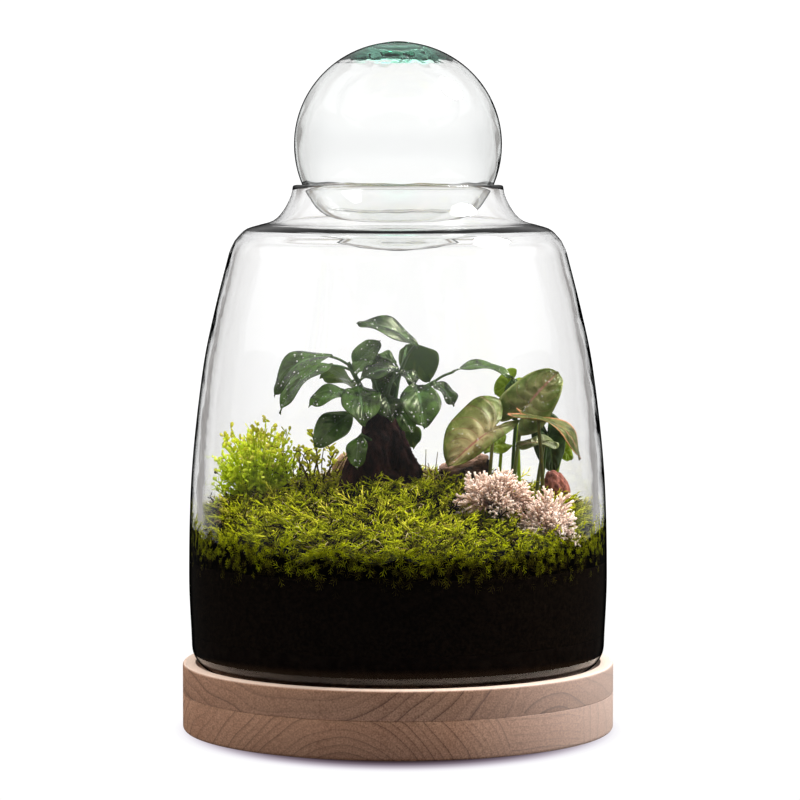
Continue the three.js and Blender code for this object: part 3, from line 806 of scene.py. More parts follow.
@dataclass(frozen=True)
class LeafSkin(Finish):
    """A living leaf: waxy above, paler below, with a midrib and side veins.

    The wax gives a soft sheen, and thin leaves glow green when the light is behind them. The
    shape's tone is the leaf's own shade, and its side marks the underside.
    """

    upper: str
    upper_light: str
    lower: str
    rib: str  # midrib and side veins
    glow: str
    centre: str = "#3f6130"
    centre_share: float = 0.0
    rib_width: float = 0.035  # a share of half the leaf's width
    veins: float = 9.0  # how many lie along the leaf
    vein_share: float = 0.22
    margin: str = "#3f6130"
    margin_share: float = 0.0
    glow_share: float = 0.25
    roughness: float = 0.3
    blotch: float = 5.0  # the size of a blotch
    mottle: str = "#d8d8d8"  # dull spots over all other colours
    shine: float = 0.5
    wax: str = "#e6eebc"  # the tint of what the face mirrors

    def side_veins(self, add: Adder, out: Socket, along: Socket) -> Socket:
        """Side veins that slant towards the tip, as the zeros of |sin| of the slanted length.

        Args:
            add: Adds a node to the material.
            out: The distance from the midrib, 1 at the margin.
            along: The share along the leaf.

        Returns:
            1 on a vein, 0 between two.
        """
        slant = add("Math.MULTIPLY_ADD", {0: out, 1: -0.42, 2: along})
        wave = add("Math.MULTIPLY", {0: slant, 1: self.veins * np.pi})
        crest = add("Math.SINE", {0: wave})
        sharp = add("Math.ABSOLUTE", {0: crest})
        return add("MapRange", {0: sharp, 1: 0.0, 2: 0.22, 3: 1.0, 4: 0.0})

    def surface(self, add: Adder) -> Socket:
        """Blotches, centre, veins, rib and margin over each other, read from the leaf's UV.

        Args:
            add: Adds a node to the material.

        Returns:
            The shader.
        """
        uv = add("TexCoord", out="UV")
        across, along = (add("SeparateXYZ", {0: uv}, axis) for axis in "XY")
        out = add("Math.ABSOLUTE", {0: across})
        place = add("TexCoord", out="Object")
        grains = {"Vector": place, "Scale": 1 / (self.blotch * MM), "Detail": 5.0,
                  "Roughness": 0.62}
        cloud = add("TexNoise", grains, "Fac")
        # each leaf has its own shade
        tone = add("Attribute", out="Fac", attribute_name="tone")
        own = add("Math.MULTIPLY_ADD", {0: tone, 1: 0.3, 2: -0.15})
        shade = add("Math.ADD", {0: cloud, 1: own})
        skin = add("ValToRGB", {"Fac": shade}, stops=((0.38, self.upper), (0.62, self.upper_light)))
        # the centre fades towards the margin, with a frayed outline
        uneven = add("Math.MULTIPLY_ADD", {0: cloud, 1: 0.9, 2: -0.45})
        frayed = add("Math.ADD", {0: out, 1: uneven})
        middle = add("MapRange", {0: frayed, 1: 0.25, 2: 0.85, 3: self.centre_share, 4: 0.0})
        edge = add("MapRange", {0: out, 1: 0.86, 2: 0.97, 3: 0.0, 4: self.margin_share})
        vein = self.side_veins(add, out, along)
        fine = add("Math.MULTIPLY", {0: vein, 1: self.vein_share})
        rib = add("MapRange", {0: out, 1: self.rib_width, 2: self.rib_width * 2, 3: 1.0, 4: 0.0})
        layers = ((middle, self.centre), (edge, self.margin), (fine, self.rib), (rib, self.rib))
        for share, colour in layers:
            skin = add("Mix", {0: share, 6: skin, 7: colour}, **BLEND)
        speck = add("ValToRGB", {"Fac": cloud}, stops=((0.36, self.mottle), (0.5, "#ffffff")))
        skin = add("Mix", {0: 1.0, 6: skin, 7: speck}, **DARKEN)
        side = add("Attribute", out="Fac", attribute_name="side")
        under = add("Math.MULTIPLY", {0: side, 1: 0.75})
        skin = add("Mix", {0: under, 6: skin, 7: self.lower}, **BLEND)
        # the veins lie a little deeper than the face
        relief = add("Bump", {"Height": vein, "Strength": 0.25, "Distance": 0.5 * MM}, invert=True)
        look = {"Base Color": skin, "Roughness": self.roughness, "Normal": relief,
                "Specular IOR Level": self.shine, "Specular Tint": self.wax}
        front = add("BsdfPrincipled", look)
        lit = add("Mix", {0: 0.75, 6: skin, 7: self.glow}, **BLEND)
        behind = add("BsdfTranslucent", {"Color": lit})
        return add("MixShader", {0: self.glow_share, 1: front, 2: behind})


@dataclass(frozen=True)
class Water(Finish):
    """Condensed water: clear round drops with a white diffuse share, a painted highlight."""

    painted_light_share: float  # how bright the painted highlight is, as a share of white

    def surface(self, add: Adder) -> Socket:
        """Water that lets lamp light straight through, and a painted highlight of white diffuse.

        Args:
            add: Adds a node to the material.

        Returns:
            The shader.
        """
        pure = add("BsdfGlass", {"Color": "#ffffff", "Roughness": 0.0, "IOR": 1.33})
        # painted highlight: a white diffuse share on each drop
        spot = add("BsdfDiffuse", {"Color": "#fffef4"})
        drop = add("MixShader", {0: self.painted_light_share, 1: pure, 2: spot})
        return lit_through(add, drop, "#ffffff")


def add_piece(name: str, shape: Shape, finish: Finish, slot: str, *replaced: str) -> None:
    """Makes a finished piece of the object, and hides the nodes of the frame that it stands for.

    Args:
        name: The piece's name.
        shape: Its shape.
        finish: What it is made of.
        slot: The material slot of the record that it belongs to; it is not used.
        replaced: The nodes of the frame that it stands for.
    """
    mesh = write_mesh(name, shape)
    mesh.materials.append(finish.material())
    piece = placed(name, mesh)
    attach(piece, BODY)
    if replaced:
        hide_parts(*replaced)
    log.info("%s: %d triangles", name, len(shape.faces))


# Board


@dataclass
class Board:
    """The round board: two glued layers, the upper one with the recess for the jar."""

    radius: float = 125.0
    joint: float = 22.0
    top: float = 39.0
    top_round: float = 1.5
    foot_round: float = 2.2
    lip_round: float = 0.6
    recess_radius: float = 117.5
    recess_depth: float = 5.0
    glue_round: float = 0.35
    painted_top_light: float = 0.55
    sides: int = 220

    def lower(self) -> Shape:
        """The lower layer, with its rounded foot and a broken edge at the glue line."""
        r, g = self.radius, self.glue_round
        foot = arc((r - self.foot_round, self.foot_round), self.foot_round, -90, 0, 9)
        joint = arc((r - g, self.joint - g), g, 0, 90, 3)
        return turned(np.vstack([[0, 0], foot, joint, [0, self.joint]]), self.sides)

    def upper(self) -> Shape:
        """The upper layer, with a softly rounded top edge and the recess."""
        r, g, lip, top = self.radius, self.glue_round, self.lip_round, self.top
        joint = arc((r - g, self.joint + g), g, -90, 0, 3)
        edge = arc((r - self.top_round, top - self.top_round), self.top_round, 0, 90, 6)
        inner = arc((self.recess_radius + lip, top - lip), lip, 90, 180, 4)
        floor = top - self.recess_depth
        recess = [[self.recess_radius, floor], [0, floor]]
        layer = turned(np.vstack([[0, self.joint], joint, edge, inner, recess]), self.sides)
        # the top and the last part of its rounding get painted light from above
        start = top - 0.6 * self.top_round
        layer.side = self.painted_top_light * smoothstep(start, top - 0.1, layer.points[:, 2])
        return layer

    def build(self) -> None:
        """Makes both layers."""
        low = SandedBeech("beech_lower_layer", (-33, -30), ring=3.9,
                          staves=((62, (75, -95)), (103, (-10, 12))))
        high = SandedBeech("beech_upper_layer", (-58, 108), ring=6.6, staves=((70, (88, 6)),))
        add_piece("board_lower", self.lower(), low, "beech", "base_board_lower")
        add_piece("board_upper", self.upper(), high, "beech", "base_board_upper")


# Glass


@dataclass
class Jar:
    """The blown jar, one closed skin of glass: outside up to the rim, and inside down again.

    The wall is low_wall thick up to thins_from, high_wall at the shoulder and rim_wall at the rim.
    The inside swells by ripples up to about wave. The outer skin above the shoulder is marked
    faint, which weakens its painted dark outline.
    """

    floor: float = 34.0
    foot_radius: float = 104.0
    foot_round: float = 15.75
    low_wall: float = 6.8
    thins_from: float = 120.0
    high_wall: float = 4.2
    rim_wall: float = 5.2
    rim: float = 315.0
    mouth: float = 60.7
    lip: float = 0.8
    shoulder: float = 277.0
    sides: int = 200
    rows: int = 120
    wave: float = 0.09
    wave_radius: float = 90.0
    faint: float = 0.3
    body: tuple[Pair, ...] = (
        (119.9, 56), (121.2, 91), (119.5, 149), (113.1, 207), (106.1, 242), (97.2, 277),
    )
    neck: tuple[Pair, ...] = (
        (94.2, 283), (88.2, 289.2), (80, 292), (72, 294.4), (66.6, 299.6), (62, 308),
    )

    def wall(self, height: Array) -> Array:
        """The wall's thickness: thick low down, thin at the shoulder, thicker at the rim.

        Args:
            height: Where it is read.

        Returns:
            The thickness, changing as a smoothstep of the height.
        """
        thinned = smoothstep(self.thins_from, self.shoulder, height)
        low = self.low_wall + (self.high_wall - self.low_wall) * thinned
        rise = smoothstep(self.shoulder, self.rim, height)
        return np.where(height < self.shoulder, low, low + (self.rim_wall - self.high_wall) * rise)

    def outside(self) -> Array:
        """The outer profile, evenly spaced: the foot's arc, and splines through body and neck."""
        foot = arc((self.foot_radius, self.floor + self.foot_round), self.foot_round, -90, -8, 12)
        body = spline(self.body, np.linspace(0, 1, 70))
        neck = spline((*self.neck, (self.mouth, self.rim - self.lip)), np.linspace(0, 1, 44))
        line = np.vstack([foot, body, neck])
        length = np.concatenate([[0], np.cumsum(np.linalg.norm(np.diff(line, axis=0), axis=1))])
        even = np.linspace(0, length[-1], self.rows)
        return np.stack([np.interp(even, length, line[:, i]) for i in (0, 1)], -1)

    def inside(self) -> Array:
        """The inner profile from the floor to the rim: the outer one moved in by the wall."""
        line = self.outside()
        along = unit(np.gradient(line, axis=0))
        moved = line + np.stack([-along[:, 1], along[:, 0]], -1) * self.wall(line[:, 1:2])
        moved[0] = (line[0, 0], self.floor + self.low_wall)
        moved[-1] = (line[-1, 0] - self.rim_wall, line[-1, 1])
        return moved

    def inner_radius(self, height: Array) -> Array:
        """The mean radius inside the glass at a height."""
        line = self.inside()
        return np.interp(height, line[:, 1], line[:, 0])

    def waves(self, turn: Array, height: Array) -> Array:
        """How far the inside swells: slow waves round and up, strongest at the two sides.

        Args:
            turn: The angle round the axis.
            height: The height.

        Returns:
            Three ripples . (0.12 + 0.88 cos^6 turn), dying out at the neck and at the foot.
        """
        spot = around(self.wave_radius, turn, height)
        slow = ripples(spot, 80, 3) + 0.5 * ripples(spot, 30, 4) + 0.25 * ripples(spot, 9, 5)
        strength = 0.12 + 0.88 * np.cos(turn) ** 6
        calm = smoothstep(300, 270, height) * smoothstep(45, 70, height)
        return self.wave * slow * strength * calm

    def inner_skin(self, turn: Array, height: Array) -> Array:
        """The radius inside the glass at an angle and a height, with its waves."""
        return self.inner_radius(height) + self.waves(turn, height)

    def shape(self) -> Shape:
        """The glass as rings: the outer profile up, a rounded rim, the inner profile down."""
        outer, inner = self.outside(), self.inside()
        middle, half = ((outer[-1, 0] + way * inner[-1, 0]) / 2 for way in (1, -1))
        lip = arc((middle, self.rim - self.lip), 1.0, 20, 160, 7)
        # one millimetre high, as wide as the rim, and let into it
        lip = np.stack([middle + (lip[:, 0] - middle) * half, lip[:, 1] - 0.2], -1)
        profile = np.vstack([outer, lip, inner[::-1]])
        is_inner = np.zeros(len(profile))
        is_inner[len(outer) + len(lip) :] = 1
        turn, height = full_circle(self.sides), profile[:, 1:2]
        radius = profile[:, 0:1] + self.waves(turn, height) * is_inner[:, None]
        rings = around(radius, turn, height)
        skin = skins(rings[None], on_axis(self.floor), on_axis(inner[0, 1]))
        # side leaves the painted dark outline off the inner skin and weakens it above the shoulder
        side = np.maximum(is_inner, self.faint * (profile[:, 1] > self.shoulder))
        skin.side[1:] = np.append(np.repeat(side, self.sides), 1)
        return skin

    def build(self) -> None:
        """Makes the jar."""
        add_piece("jar", self.shape(), BlownGlass("blown_clear_glass"), "jar_glass", "glass_jar")


@dataclass
class Stopper:
    """The hollow ball on the neck, and the thick aqua seal at its top.

    Heights are measured from the ball's middle, which lies at level. Its wall is even up to the
    angle spring, and from there the roof runs through its points to the seal.
    """

    level: float = 338.2
    radius: float = 60.0
    top: float = 59.0
    wall: float = 3.0
    spring: float = 52.0
    roof: tuple[Pair, ...] = ((16, 50.6), (24, 49.4), (31, 47.4))
    thick_radius: float = 32.0
    seal_wall: float = 8.5
    seal_radius: float = 11.0
    seal_inner: float = 8.0
    seal_crown: float = 0.3
    clearance: float = 0.05
    sides: int = 160

    def outer(self) -> Array:
        """The outer profile from the foot up to the seal, a little flattened above the middle."""
        reach = np.degrees(np.arccos(self.seal_radius / self.radius))
        line = arc((0, 0), self.radius, -90, reach, 90)
        high = line[:, 1] > 0
        line[high, 1] *= self.top / self.radius
        return line

    def uneven(self, spot: Array, radius: Array, height: Array) -> Array:
        """Makes the inside of the ball as uneven as blown glass is.

        Args:
            spot: The inner points, (..., 3).
            radius: Their radius.
            height: Their height.

        Returns:
            The points, pushed in by low ripples, and in the thick roof let down by coarser
            ones, except where the roof meets the seal.
        """
        push = 0.12 * ripples(spot, 50, 11) + 0.04 * ripples(spot, 17, 12)
        spot = spot - unit(spot) * (np.abs(push) * (height < 46))[..., None]
        sag = 0.35 * np.abs(ripples(spot, 15, 13)) + 0.1 * np.abs(ripples(spot, 5, 14))
        sag = sag * smoothstep(8.5, 14, radius) * smoothstep(38, 48, height)
        return spot - sag[..., None] * [0, 0, 1]

    def ball(self) -> Shape:
        """The glass ball: outside up to the seal's hole, and inside down again."""
        inner = self.radius - self.wall
        spring = np.radians(self.spring)
        ends = ((self.seal_inner, self.top - self.seal_wall), *self.roof,
                (inner * np.cos(spring), inner * np.sin(spring)))
        roof = spline(ends, np.linspace(0, 1, 24))
        cavity = arc((0, 0), inner, self.spring - 1, -90, 80)
        outer = self.outer()
        profile = np.vstack([outer[1:], roof, cavity[:-1]])
        radius, height = profile[:, 0:1], profile[:, 1:2]
        spot = around(radius, full_circle(self.sides), height)
        count = len(outer)
        spot[count:] = self.uneven(spot[count:], radius[count:], height[count:])
        spot[..., 2] += self.level
        ends = on_axis(self.level - self.radius), on_axis(self.level - inner)
        skin = skins(spot[None], *ends)
        is_inner = np.arange(len(profile)) >= count
        # side leaves the painted dark outline off the inner skin
        skin.side[1:] = np.append(np.repeat(is_inner, self.sides), 1)
        # tone marks the thick roof, which gets the pool's colour and a share of painted light
        flat = np.hypot(skin.points[:, 0], skin.points[:, 1])
        above = (skin.side == 1) & (skin.points[:, 2] > self.level)
        skin.tone = smoothstep(self.thick_radius, 3, flat) * above
        return skin

    def seal(self) -> Shape:
        """The seal: a short plug with a shallow dome, the way the glass closed on itself."""
        edge = self.outer()[-1]
        side = np.linspace((self.seal_inner, self.top - self.seal_wall), edge, 6)
        side[:, 0] -= self.clearance
        share = np.linspace(0, 1, 12)[1:-1]
        top = self.top + self.seal_crown
        rise = edge[1] + (top - edge[1]) * np.sin(share * np.pi / 2)
        dome = np.stack([side[-1, 0] * (1 - share), rise], -1)
        profile = np.vstack([[0, side[0, 1]], side, dome, [0, top]])
        profile[:, 1] += self.level
        return turned(profile, 64)

    def build(self) -> None:
        """Makes the ball and its seal."""
        thin = BlownGlass("blown_aqua_glass", pool="#a8e8d4", painted_light_share=0.9, density=4.5)
        thick = BlownGlass("thick_aqua_glass", tint="#c4ecdf", depth="#2fae8c", density=60.0)
        add_piece("ball", self.ball(), thin, "jar_glass", "stopper_ball")
        add_piece("ball_seal", self.seal(), thick, "seal_glass", "stopper_seal")


# Ground


@dataclass
class Ground:
    """Gravel, soil and the moss carpet with its shoots.

    crest is the moss's height in the middle, and falls says how far it falls to the front, the
    back and each side. What presses against the glass is let into it by contact.
    """

    jar: Jar
    gravel_top: float = 56.0
    soil_level: float = 98.0
    soil_rise: float = 23.0
    soil_radius: float = 113.0
    bed: float = 112.0
    crest: float = 142.0
    falls: Point = (34.0, 10.0, 17.0)
    tuft: float = 2.4
    contact: float = 0.2
    shoots: int = 7800
    at_glass: int = 2200
    seed: int = 5

    def moss_height(self, x: Array, y: Array) -> Array:
        """The height of the moss: a mound that falls to the front, the sides and the back.

        Args:
            x: Sideways place.
            y: Place from front to back.

        Returns:
            The crest less a slope to each side, plus tufts from two crossed sine waves.
        """
        front = self.falls[0] * np.maximum(-y / self.bed, 0) ** 1.1
        back = self.falls[1] * np.maximum(y / self.bed, 0) ** 2
        sides = self.falls[2] * (x / self.bed) ** 2
        tufts = np.sin(x / 4.3 + 1.3 * np.sin(y / 9.7)) * np.sin(y / 4.7 + 1.1 * np.sin(x / 8.9))
        return self.crest - front - back - sides + self.tuft * tufts

    def at_wall(self, turn: Array, height: Array) -> Array:
        """Points that press against the inside of the glass."""
        return around(self.jar.inner_skin(turn, height) + self.contact, turn, height)

    def filling(self, low: float, high: float, top: Array) -> Shape:
        """A filling that presses against the glass between two heights.

        Args:
            low: Its lowest level.
            high: Its level at the wall.
            top: Its upper profile from the wall to the axis.

        Returns:
            The closed body: the glass's inside from low to high, and the turned profile.
        """
        turn = full_circle(self.jar.sides)
        wall = self.at_wall(turn, np.linspace(low, high, 40)[:, None])
        lid = around(top[1:, 0:1], turn, top[1:, 1:2])
        return skins(np.concatenate([wall, lid])[None], on_axis(low), on_axis(top[-1, 1]))

    def carpet(self) -> Shape:
        """The moss carpet's body: pressed to the glass at its side, mounded on top."""
        turn = full_circle(self.jar.sides)
        rim = self.moss_height(self.bed * np.cos(turn), self.bed * np.sin(turn))
        up = np.linspace(0, 1, 14)[:, None]
        wall = self.at_wall(turn, self.soil_level + (rim - self.soil_level) * up)
        share = np.linspace(1, 0, 62)[1:-1, None]
        spot = around(share * self.bed, turn, 0.0)
        spot[..., 2] = self.moss_height(spot[..., 0], spot[..., 1])
        spot[..., 2] += 0.9 * ripples(spot, 5.5, 31) + 0.5 * ripples(spot, 2.4, 32)
        middle = self.moss_height(np.zeros(1), np.zeros(1))[0]
        rings = np.concatenate([wall, spot])
        body = skins(rings[None], on_axis(self.soil_level), on_axis(middle))
        # the bed takes the darkest foot of the shoots: painted shade under them
        body.uv[:, 1] = 0.03
        return body

    def arched(self, share: Array) -> Array:
        """Points of a moss stem 1 long that bends to its face: (0, 0.28 s^2, s - 0.12 s^2)."""
        return np.stack([0 * share, 0.28 * share**2, share * (1 - 0.12 * share)], -1)

    def feather(self) -> Shape:
        """One shoot of feather moss, 1 long: an arched stem with side branches on both sides."""
        stem = self.arched(np.linspace(0, 1, 4))
        low = np.linspace(0.22, 0.84, 6)
        start = self.arched(low)
        way = np.where(np.arange(len(low)) % 2, 1.0, -1.0)
        out = unit(np.stack([way, 0.1 + 0 * low, 1.0 + 0 * low], -1))
        # the branches get shorter towards the tip, and bend up to it
        reach = (0.3 * (1.05 - low))[:, None] + 0.07
        middle = start + out * reach * 0.5 + [0, 0.015, 0.02]
        end = start + out * reach + [0, 0.05, 0.05]
        branch = spindles(np.stack([start, middle, end], 1), np.array([0, 0.02, 0]))
        branch.uv[:, 1] = 0.35 + 0.65 * branch.uv[:, 1]
        return joined(spindles(stem[None], np.array([0, 0.028, 0.024, 0])), branch)

    def cover(self) -> Shape:
        """All moss shoots, seeded over the carpet and pressed flat where they meet the glass.

        Those behind the crest lie flatter, patches have their own shade, and low ones get painted
        shade.
        """
        draw = np.random.default_rng(self.seed)
        count = self.shoots
        radius = self.bed * np.sqrt(draw.uniform(0, 1, count))
        places = around(radius, draw.uniform(0, 2 * np.pi, count), 0.0)
        x, y, _ = places.T
        places[:, 2] = self.moss_height(x, y) - 0.8
        heading = draw.uniform(0, 2 * np.pi, count)
        lift = np.radians(draw.uniform(8, 62, count)) * (1 - 0.6 * smoothstep(-20, 10, y))
        way = around(np.cos(lift), heading, np.sin(lift)) - [0, 0.15, 0]
        facing = [0, 0, -1.0] + draw.normal(0, 0.5, (count, 3))
        patch = ripples(places, 46, 41) * 0.5 + ripples(places, 16, 42) * 0.35
        tones = np.clip(0.46 + 0.45 * patch + draw.normal(0, 0.32, count), 0, 1)
        # painted shade: shoots low on the mound, at its front and sides, are darker
        tones *= 0.5 + 0.5 * smoothstep(103, 124, places[:, 2])
        sizes = draw.uniform(9, 21, count)
        return self.pressed(self.feather().copies(places, frames_along(way, facing), sizes, tones))

    def wall_shoots(self) -> Shape:
        """Shoots pressed to the glass, fewer and in painted shade from the moss's edge down."""
        draw = np.random.default_rng(self.seed + 1)
        count = self.at_glass
        turn = draw.uniform(0, 2 * np.pi, count)
        edge = self.moss_height(self.bed * np.cos(turn), self.bed * np.sin(turn))
        z = edge - (edge - self.soil_level + 5) * draw.uniform(0, 1, count) ** 1.6
        tilt = draw.uniform(-1.2, 1.2, count)[:, None]
        upright = [0, 0, 1.0] * np.cos(tilt) * np.sign(draw.uniform(-0.4, 1, (count, 1)))
        way = around(1.0, turn + np.pi / 2, 0.0) * np.sin(tilt) + upright
        places = around(self.jar.inner_radius(z), turn, z)
        tones = np.clip(0.4 + draw.normal(0, 0.22, count), 0, 1)
        # painted shade: the shoots darken towards the soil
        tones *= smoothstep(self.soil_level - 6, self.soil_level + 20, z)
        frames = frames_along(way, places * [-1, -1, 0])
        shape = self.feather().copies(places, frames, draw.uniform(6, 11, count), tones)
        x, y, z = shape.points.T
        turn = np.arctan2(y, x)
        # pressed flat, they keep 8 % of their depth
        inside = self.jar.inner_skin(turn, z)
        radius = inside + self.contact + 0.1 + 0.08 * (np.hypot(x, y) - inside)
        shape.points = around(radius, turn, z)
        return shape

    def litter(self, count: int, seed: int, length: Pair, radius: float, lift: float) -> Shape:
        """Thin curved stems over the moss: pale runners or dark broken bits.

        Args:
            count: How many.
            seed: The seed of their places.
            length: The shortest and the longest.
            radius: Their radius.
            lift: How high above the moss their middle arches.

        Returns:
            The stems, each a tube through five points.
        """
        draw = np.random.default_rng(seed)
        reach = (self.bed - 4) * np.sqrt(draw.uniform(0, 1, count))
        turn, heading = draw.uniform(0, 2 * np.pi, (2, count))
        span = draw.uniform(*length, count)[:, None]
        step = np.linspace(-0.5, 0.5, 5)
        bend = draw.normal(0, 0.35, count)[:, None] * (step**2)
        ahead, aside = np.cos(heading)[:, None], np.sin(heading)[:, None]
        x = (reach * np.cos(turn))[:, None] + span * (ahead * step - aside * bend)
        y = (reach * np.sin(turn))[:, None] + span * (aside * step + ahead * bend)
        tilt = draw.uniform(-0.5, 0.5, count)[:, None] * step * span
        arch = lift * draw.uniform(0.3, 1, count)[:, None] * (1 - (2 * step) ** 2)
        z = self.moss_height(x, y) + 3.0 + arch + tilt
        thick = radius * np.array([0.7, 1, 1, 0.9, 0.4])
        tones = draw.uniform(0, 1, count)
        return self.pressed(tubes(np.stack([x, y, z], -1), thick, 4, tones))

    def pressed(self, shape: Shape) -> Shape:
        """A shape whose points beyond the inside of the glass are brought back to it."""
        x, y, z = shape.points.T
        limit = self.jar.inner_skin(np.arctan2(y, x), z) + self.contact
        shape.points = held_within(shape.points, limit)
        return shape

    def fillings(self) -> None:
        """Makes gravel and soil."""
        lava = RoughMatter("crushed_lava", "#050302", "#0e0a07", grain=5, relief=0.5, shine=0.0)
        peat = RoughMatter("moist_peat", "#040302", "#100b07", grain=1.8, low=0.4, shine=0.0)
        level = np.array([[share * self.bed, self.gravel_top] for share in (1, 0.5, 0.01)])
        gravel = self.filling(self.jar.floor + self.jar.low_wall, self.gravel_top, level)
        add_piece("gravel", gravel, lava, "lava_gravel", "drainage_gravel")
        share = np.array([1, 0.9, 0.75, 0.55, 0.3, 0.02])
        rise = self.soil_level + self.soil_rise * (1 - share**1.6)
        mound = np.stack([share * self.soil_radius, rise], -1)
        soil = self.filling(self.gravel_top, self.soil_level, mound)
        add_piece("soil", soil, peat, "potting_soil", "potting_soil")

    def build(self) -> None:
        """Makes gravel, soil, carpet, shoots and litter."""
        self.fillings()
        shades = ((0.0, "#120c07"), (0.1, "#2c220a"), (0.22, "#5e5e0a"), (0.45, "#9ca60a"),
                  (0.75, "#cccf1c"), (1.0, "#e8dc58"))
        moss = ThinGrowth("feather_moss", shades, glow="#d2d40c", share=0.4, foot=0.03,
                          shine=0.0, tip="#f0ec44", tip_share=0.45)
        add_piece("moss_bed", self.carpet(), moss, "moss", "moss_carpet")
        cover = self.cover()
        middle = cover.points[:, 0][cover.faces[:, 0]]
        # in three parts, because one would have too many triangles
        for name, low, high in (("left", -200, -38), ("middle", -38, 38), ("right", 38, 200)):
            mine = cover.faces[(middle >= low) & (middle < high)]
            used, faces = np.unique(mine, return_inverse=True)
            part = Shape(cover.points[used], faces.reshape(-1, 3), cover.uv[used],
                         cover.tone[used], cover.side[used])
            add_piece(f"moss_shoots_{name}", part, moss, "moss")
        add_piece("moss_shoots_wall", self.wall_shoots(), moss, "moss")
        pale = ThinGrowth("pale_runners", ((0.0, "#7a5a34"), (1.0, "#d6c890")), glow="#e0d090",
                          foot=1.0, shine=0.1)
        dark = ThinGrowth("dark_litter", ((0.0, "#120b07"), (1.0, "#4a2c18")), glow="#4a2c18",
                          share=0.05, foot=1.0, shine=0.1)
        add_piece("pale_runners", self.litter(450, 21, (7, 20), 0.22, 3), pale, "moss")
        add_piece("dark_litter", self.litter(420, 22, (3, 11), 0.42, 1), dark, "moss")


# Leaves


@dataclass(frozen=True)
class Blade:
    """A leaf blade between base and tip, as the frame's leaf of the same numbers."""

    base: Point
    tip: Point
    facing: Point
    width: float
    outline: tuple[Pair, ...]  # shares of half the width and of the length
    bow: float  # how far the midrib arches, as a share of the length
    fold: float  # how steeply both halves rise from the midrib
    wave: float  # the height of the waves along the margin
    quilt: float  # the height of the swellings between the veins
    thickness: float = 0.5
    slimmer: float = 0.0  # by which share one half is slimmer
    start: Point = (0.0, 0.0, 0.0)  # where its stalk leaves the stem
    seed: int = 0

    def axes(self) -> tuple[Array, Array, Array, float]:
        """Along the midrib, up from the face and sideways, and the leaf's length."""
        line = np.subtract(self.tip, self.base)
        length = float(np.linalg.norm(line))
        along = line / length
        facing = np.array(self.facing)
        up = unit(facing - (facing @ along) * along)
        return along, up, np.cross(along, up), length

    def at(self, across: Array, share: Array) -> Array:
        """Points of the blade's middle surface.

        Sideways a point lies at its share of the outline's half width. It is lifted by the
        midrib's bow, a fold that rises from the rib, waves along the margin and low quilting.

        Args:
            across: From -1 at one margin, that of the slimmer half, to 1 at the other.
            share: From 0 at the base row to 1 at the tip row.

        Returns:
            The points, (..., 3).
        """
        along, up, side, length = self.axes()
        edge = spline(self.outline, share)
        out = np.abs(across)
        slim = np.where(across < 0, 1 - self.slimmer * smoothstep(0, 0.35, share), 1)
        x = across * slim * edge[..., 0] * self.width / 2
        y = (share + (edge[..., 1] - share) * out) * length
        rise = self.bow * length * np.sin(np.pi * y / length)
        rise = rise + self.fold * (np.sqrt(x * x + 0.5) - 0.7)
        rise = rise + self.wave * out**2 * np.sin(15 * share + np.sign(across) + self.seed)
        rise = rise + self.quilt * np.sin(np.pi * np.minimum(out * 1.2, 1)) * np.abs(
            np.sin(np.pi * 7 * (share - 0.3 * out))
        )
        origin = np.array(self.base)
        return origin + y[..., None] * along + x[..., None] * side + rise[..., None] * up

    def shape(self, rows: int = 26, columns: int = 15) -> Shape:
        """The blade as a closed skin with an upper and a lower face."""
        up = self.axes()[1]
        share = np.linspace(0, 1, rows)[:, None]
        across = np.linspace(-1, 1, columns)[None, :]
        middle = self.at(across + 0 * share, share + 0 * across)
        thin = self.thickness / 2 * (1 - 0.6 * np.abs(across) ** 3)[..., None]
        upper, lower = middle + thin * up, (middle - thin * up)[:, ::-1]
        rings = np.concatenate([upper, lower], 1)
        flat = skins(rings[None], middle[:1, columns // 2], middle[-1:, columns // 2])
        u = np.concatenate([across[0], across[0, ::-1]])
        u_all = np.tile(u, rows)
        v_all = np.repeat(share[:, 0], len(u))
        side = np.tile(np.repeat([0.0, 1.0], columns), rows)
        flat.uv = np.vstack([[0, 0], np.stack([u_all, v_all], -1), [0, 1]])
        flat.side = np.concatenate([[0], side, [0]])
        return flat

    def drops(self, count: int, seed: int) -> Shape:
        """Water drops on the blade's upper face.

        Args:
            count: How many.
            seed: The seed of their places.

        Returns:
            The drops as squashed balls, two thirds above the leaf. Most are small.
        """
        draw = np.random.default_rng(seed)
        across = draw.uniform(-0.82, 0.82, count)
        share = draw.uniform(0.1, 0.9, count)
        spot = self.at(across, share)
        step = 0.01
        run = self.at(across, share + step) - self.at(across, share - step)
        sweep = self.at(across + step, share) - self.at(across - step, share)
        normal = unit(np.cross(sweep, run))
        small, large = DROP_RADII
        radius = small + (large - small) * draw.uniform(0, 1, count) ** 3
        places = spot + normal * (self.thickness / 2 + radius[:, None] * 0.15)
        scale = np.stack([radius, radius, radius * 0.62], -1)
        return ball_shape(4, 8).copies(places, frames_along(normal, run), scale, np.zeros(count))


def stalks(paths: list[list[Point]], radii: Pair, steps: int = 10) -> Shape:
    """Stalks, as eight-sided tubes along smooth curves, with a radius at foot and end."""
    lines = np.stack([spline(path, np.linspace(0, 1, steps)) for path in paths])
    return tubes(lines, np.linspace(radii[0], radii[1], steps), 8)


@dataclass(frozen=True)
class Shoot:
    """A leafy shoot of the fig: its woody stem and its leaves."""

    node: str
    stem: tuple[Point, ...]
    radius: float
    leaves: tuple[Blade, ...]


# the smallest and the largest radius of a water drop
DROP_RADII = (0.2, 0.65)
FIG_OUTLINE = (
    (0.04, 0.0), (0.5, 0.1), (0.88, 0.3), (1.0, 0.52), (0.8, 0.74), (0.4, 0.89), (0.12, 0.965),
    (0.02, 1.0),
)


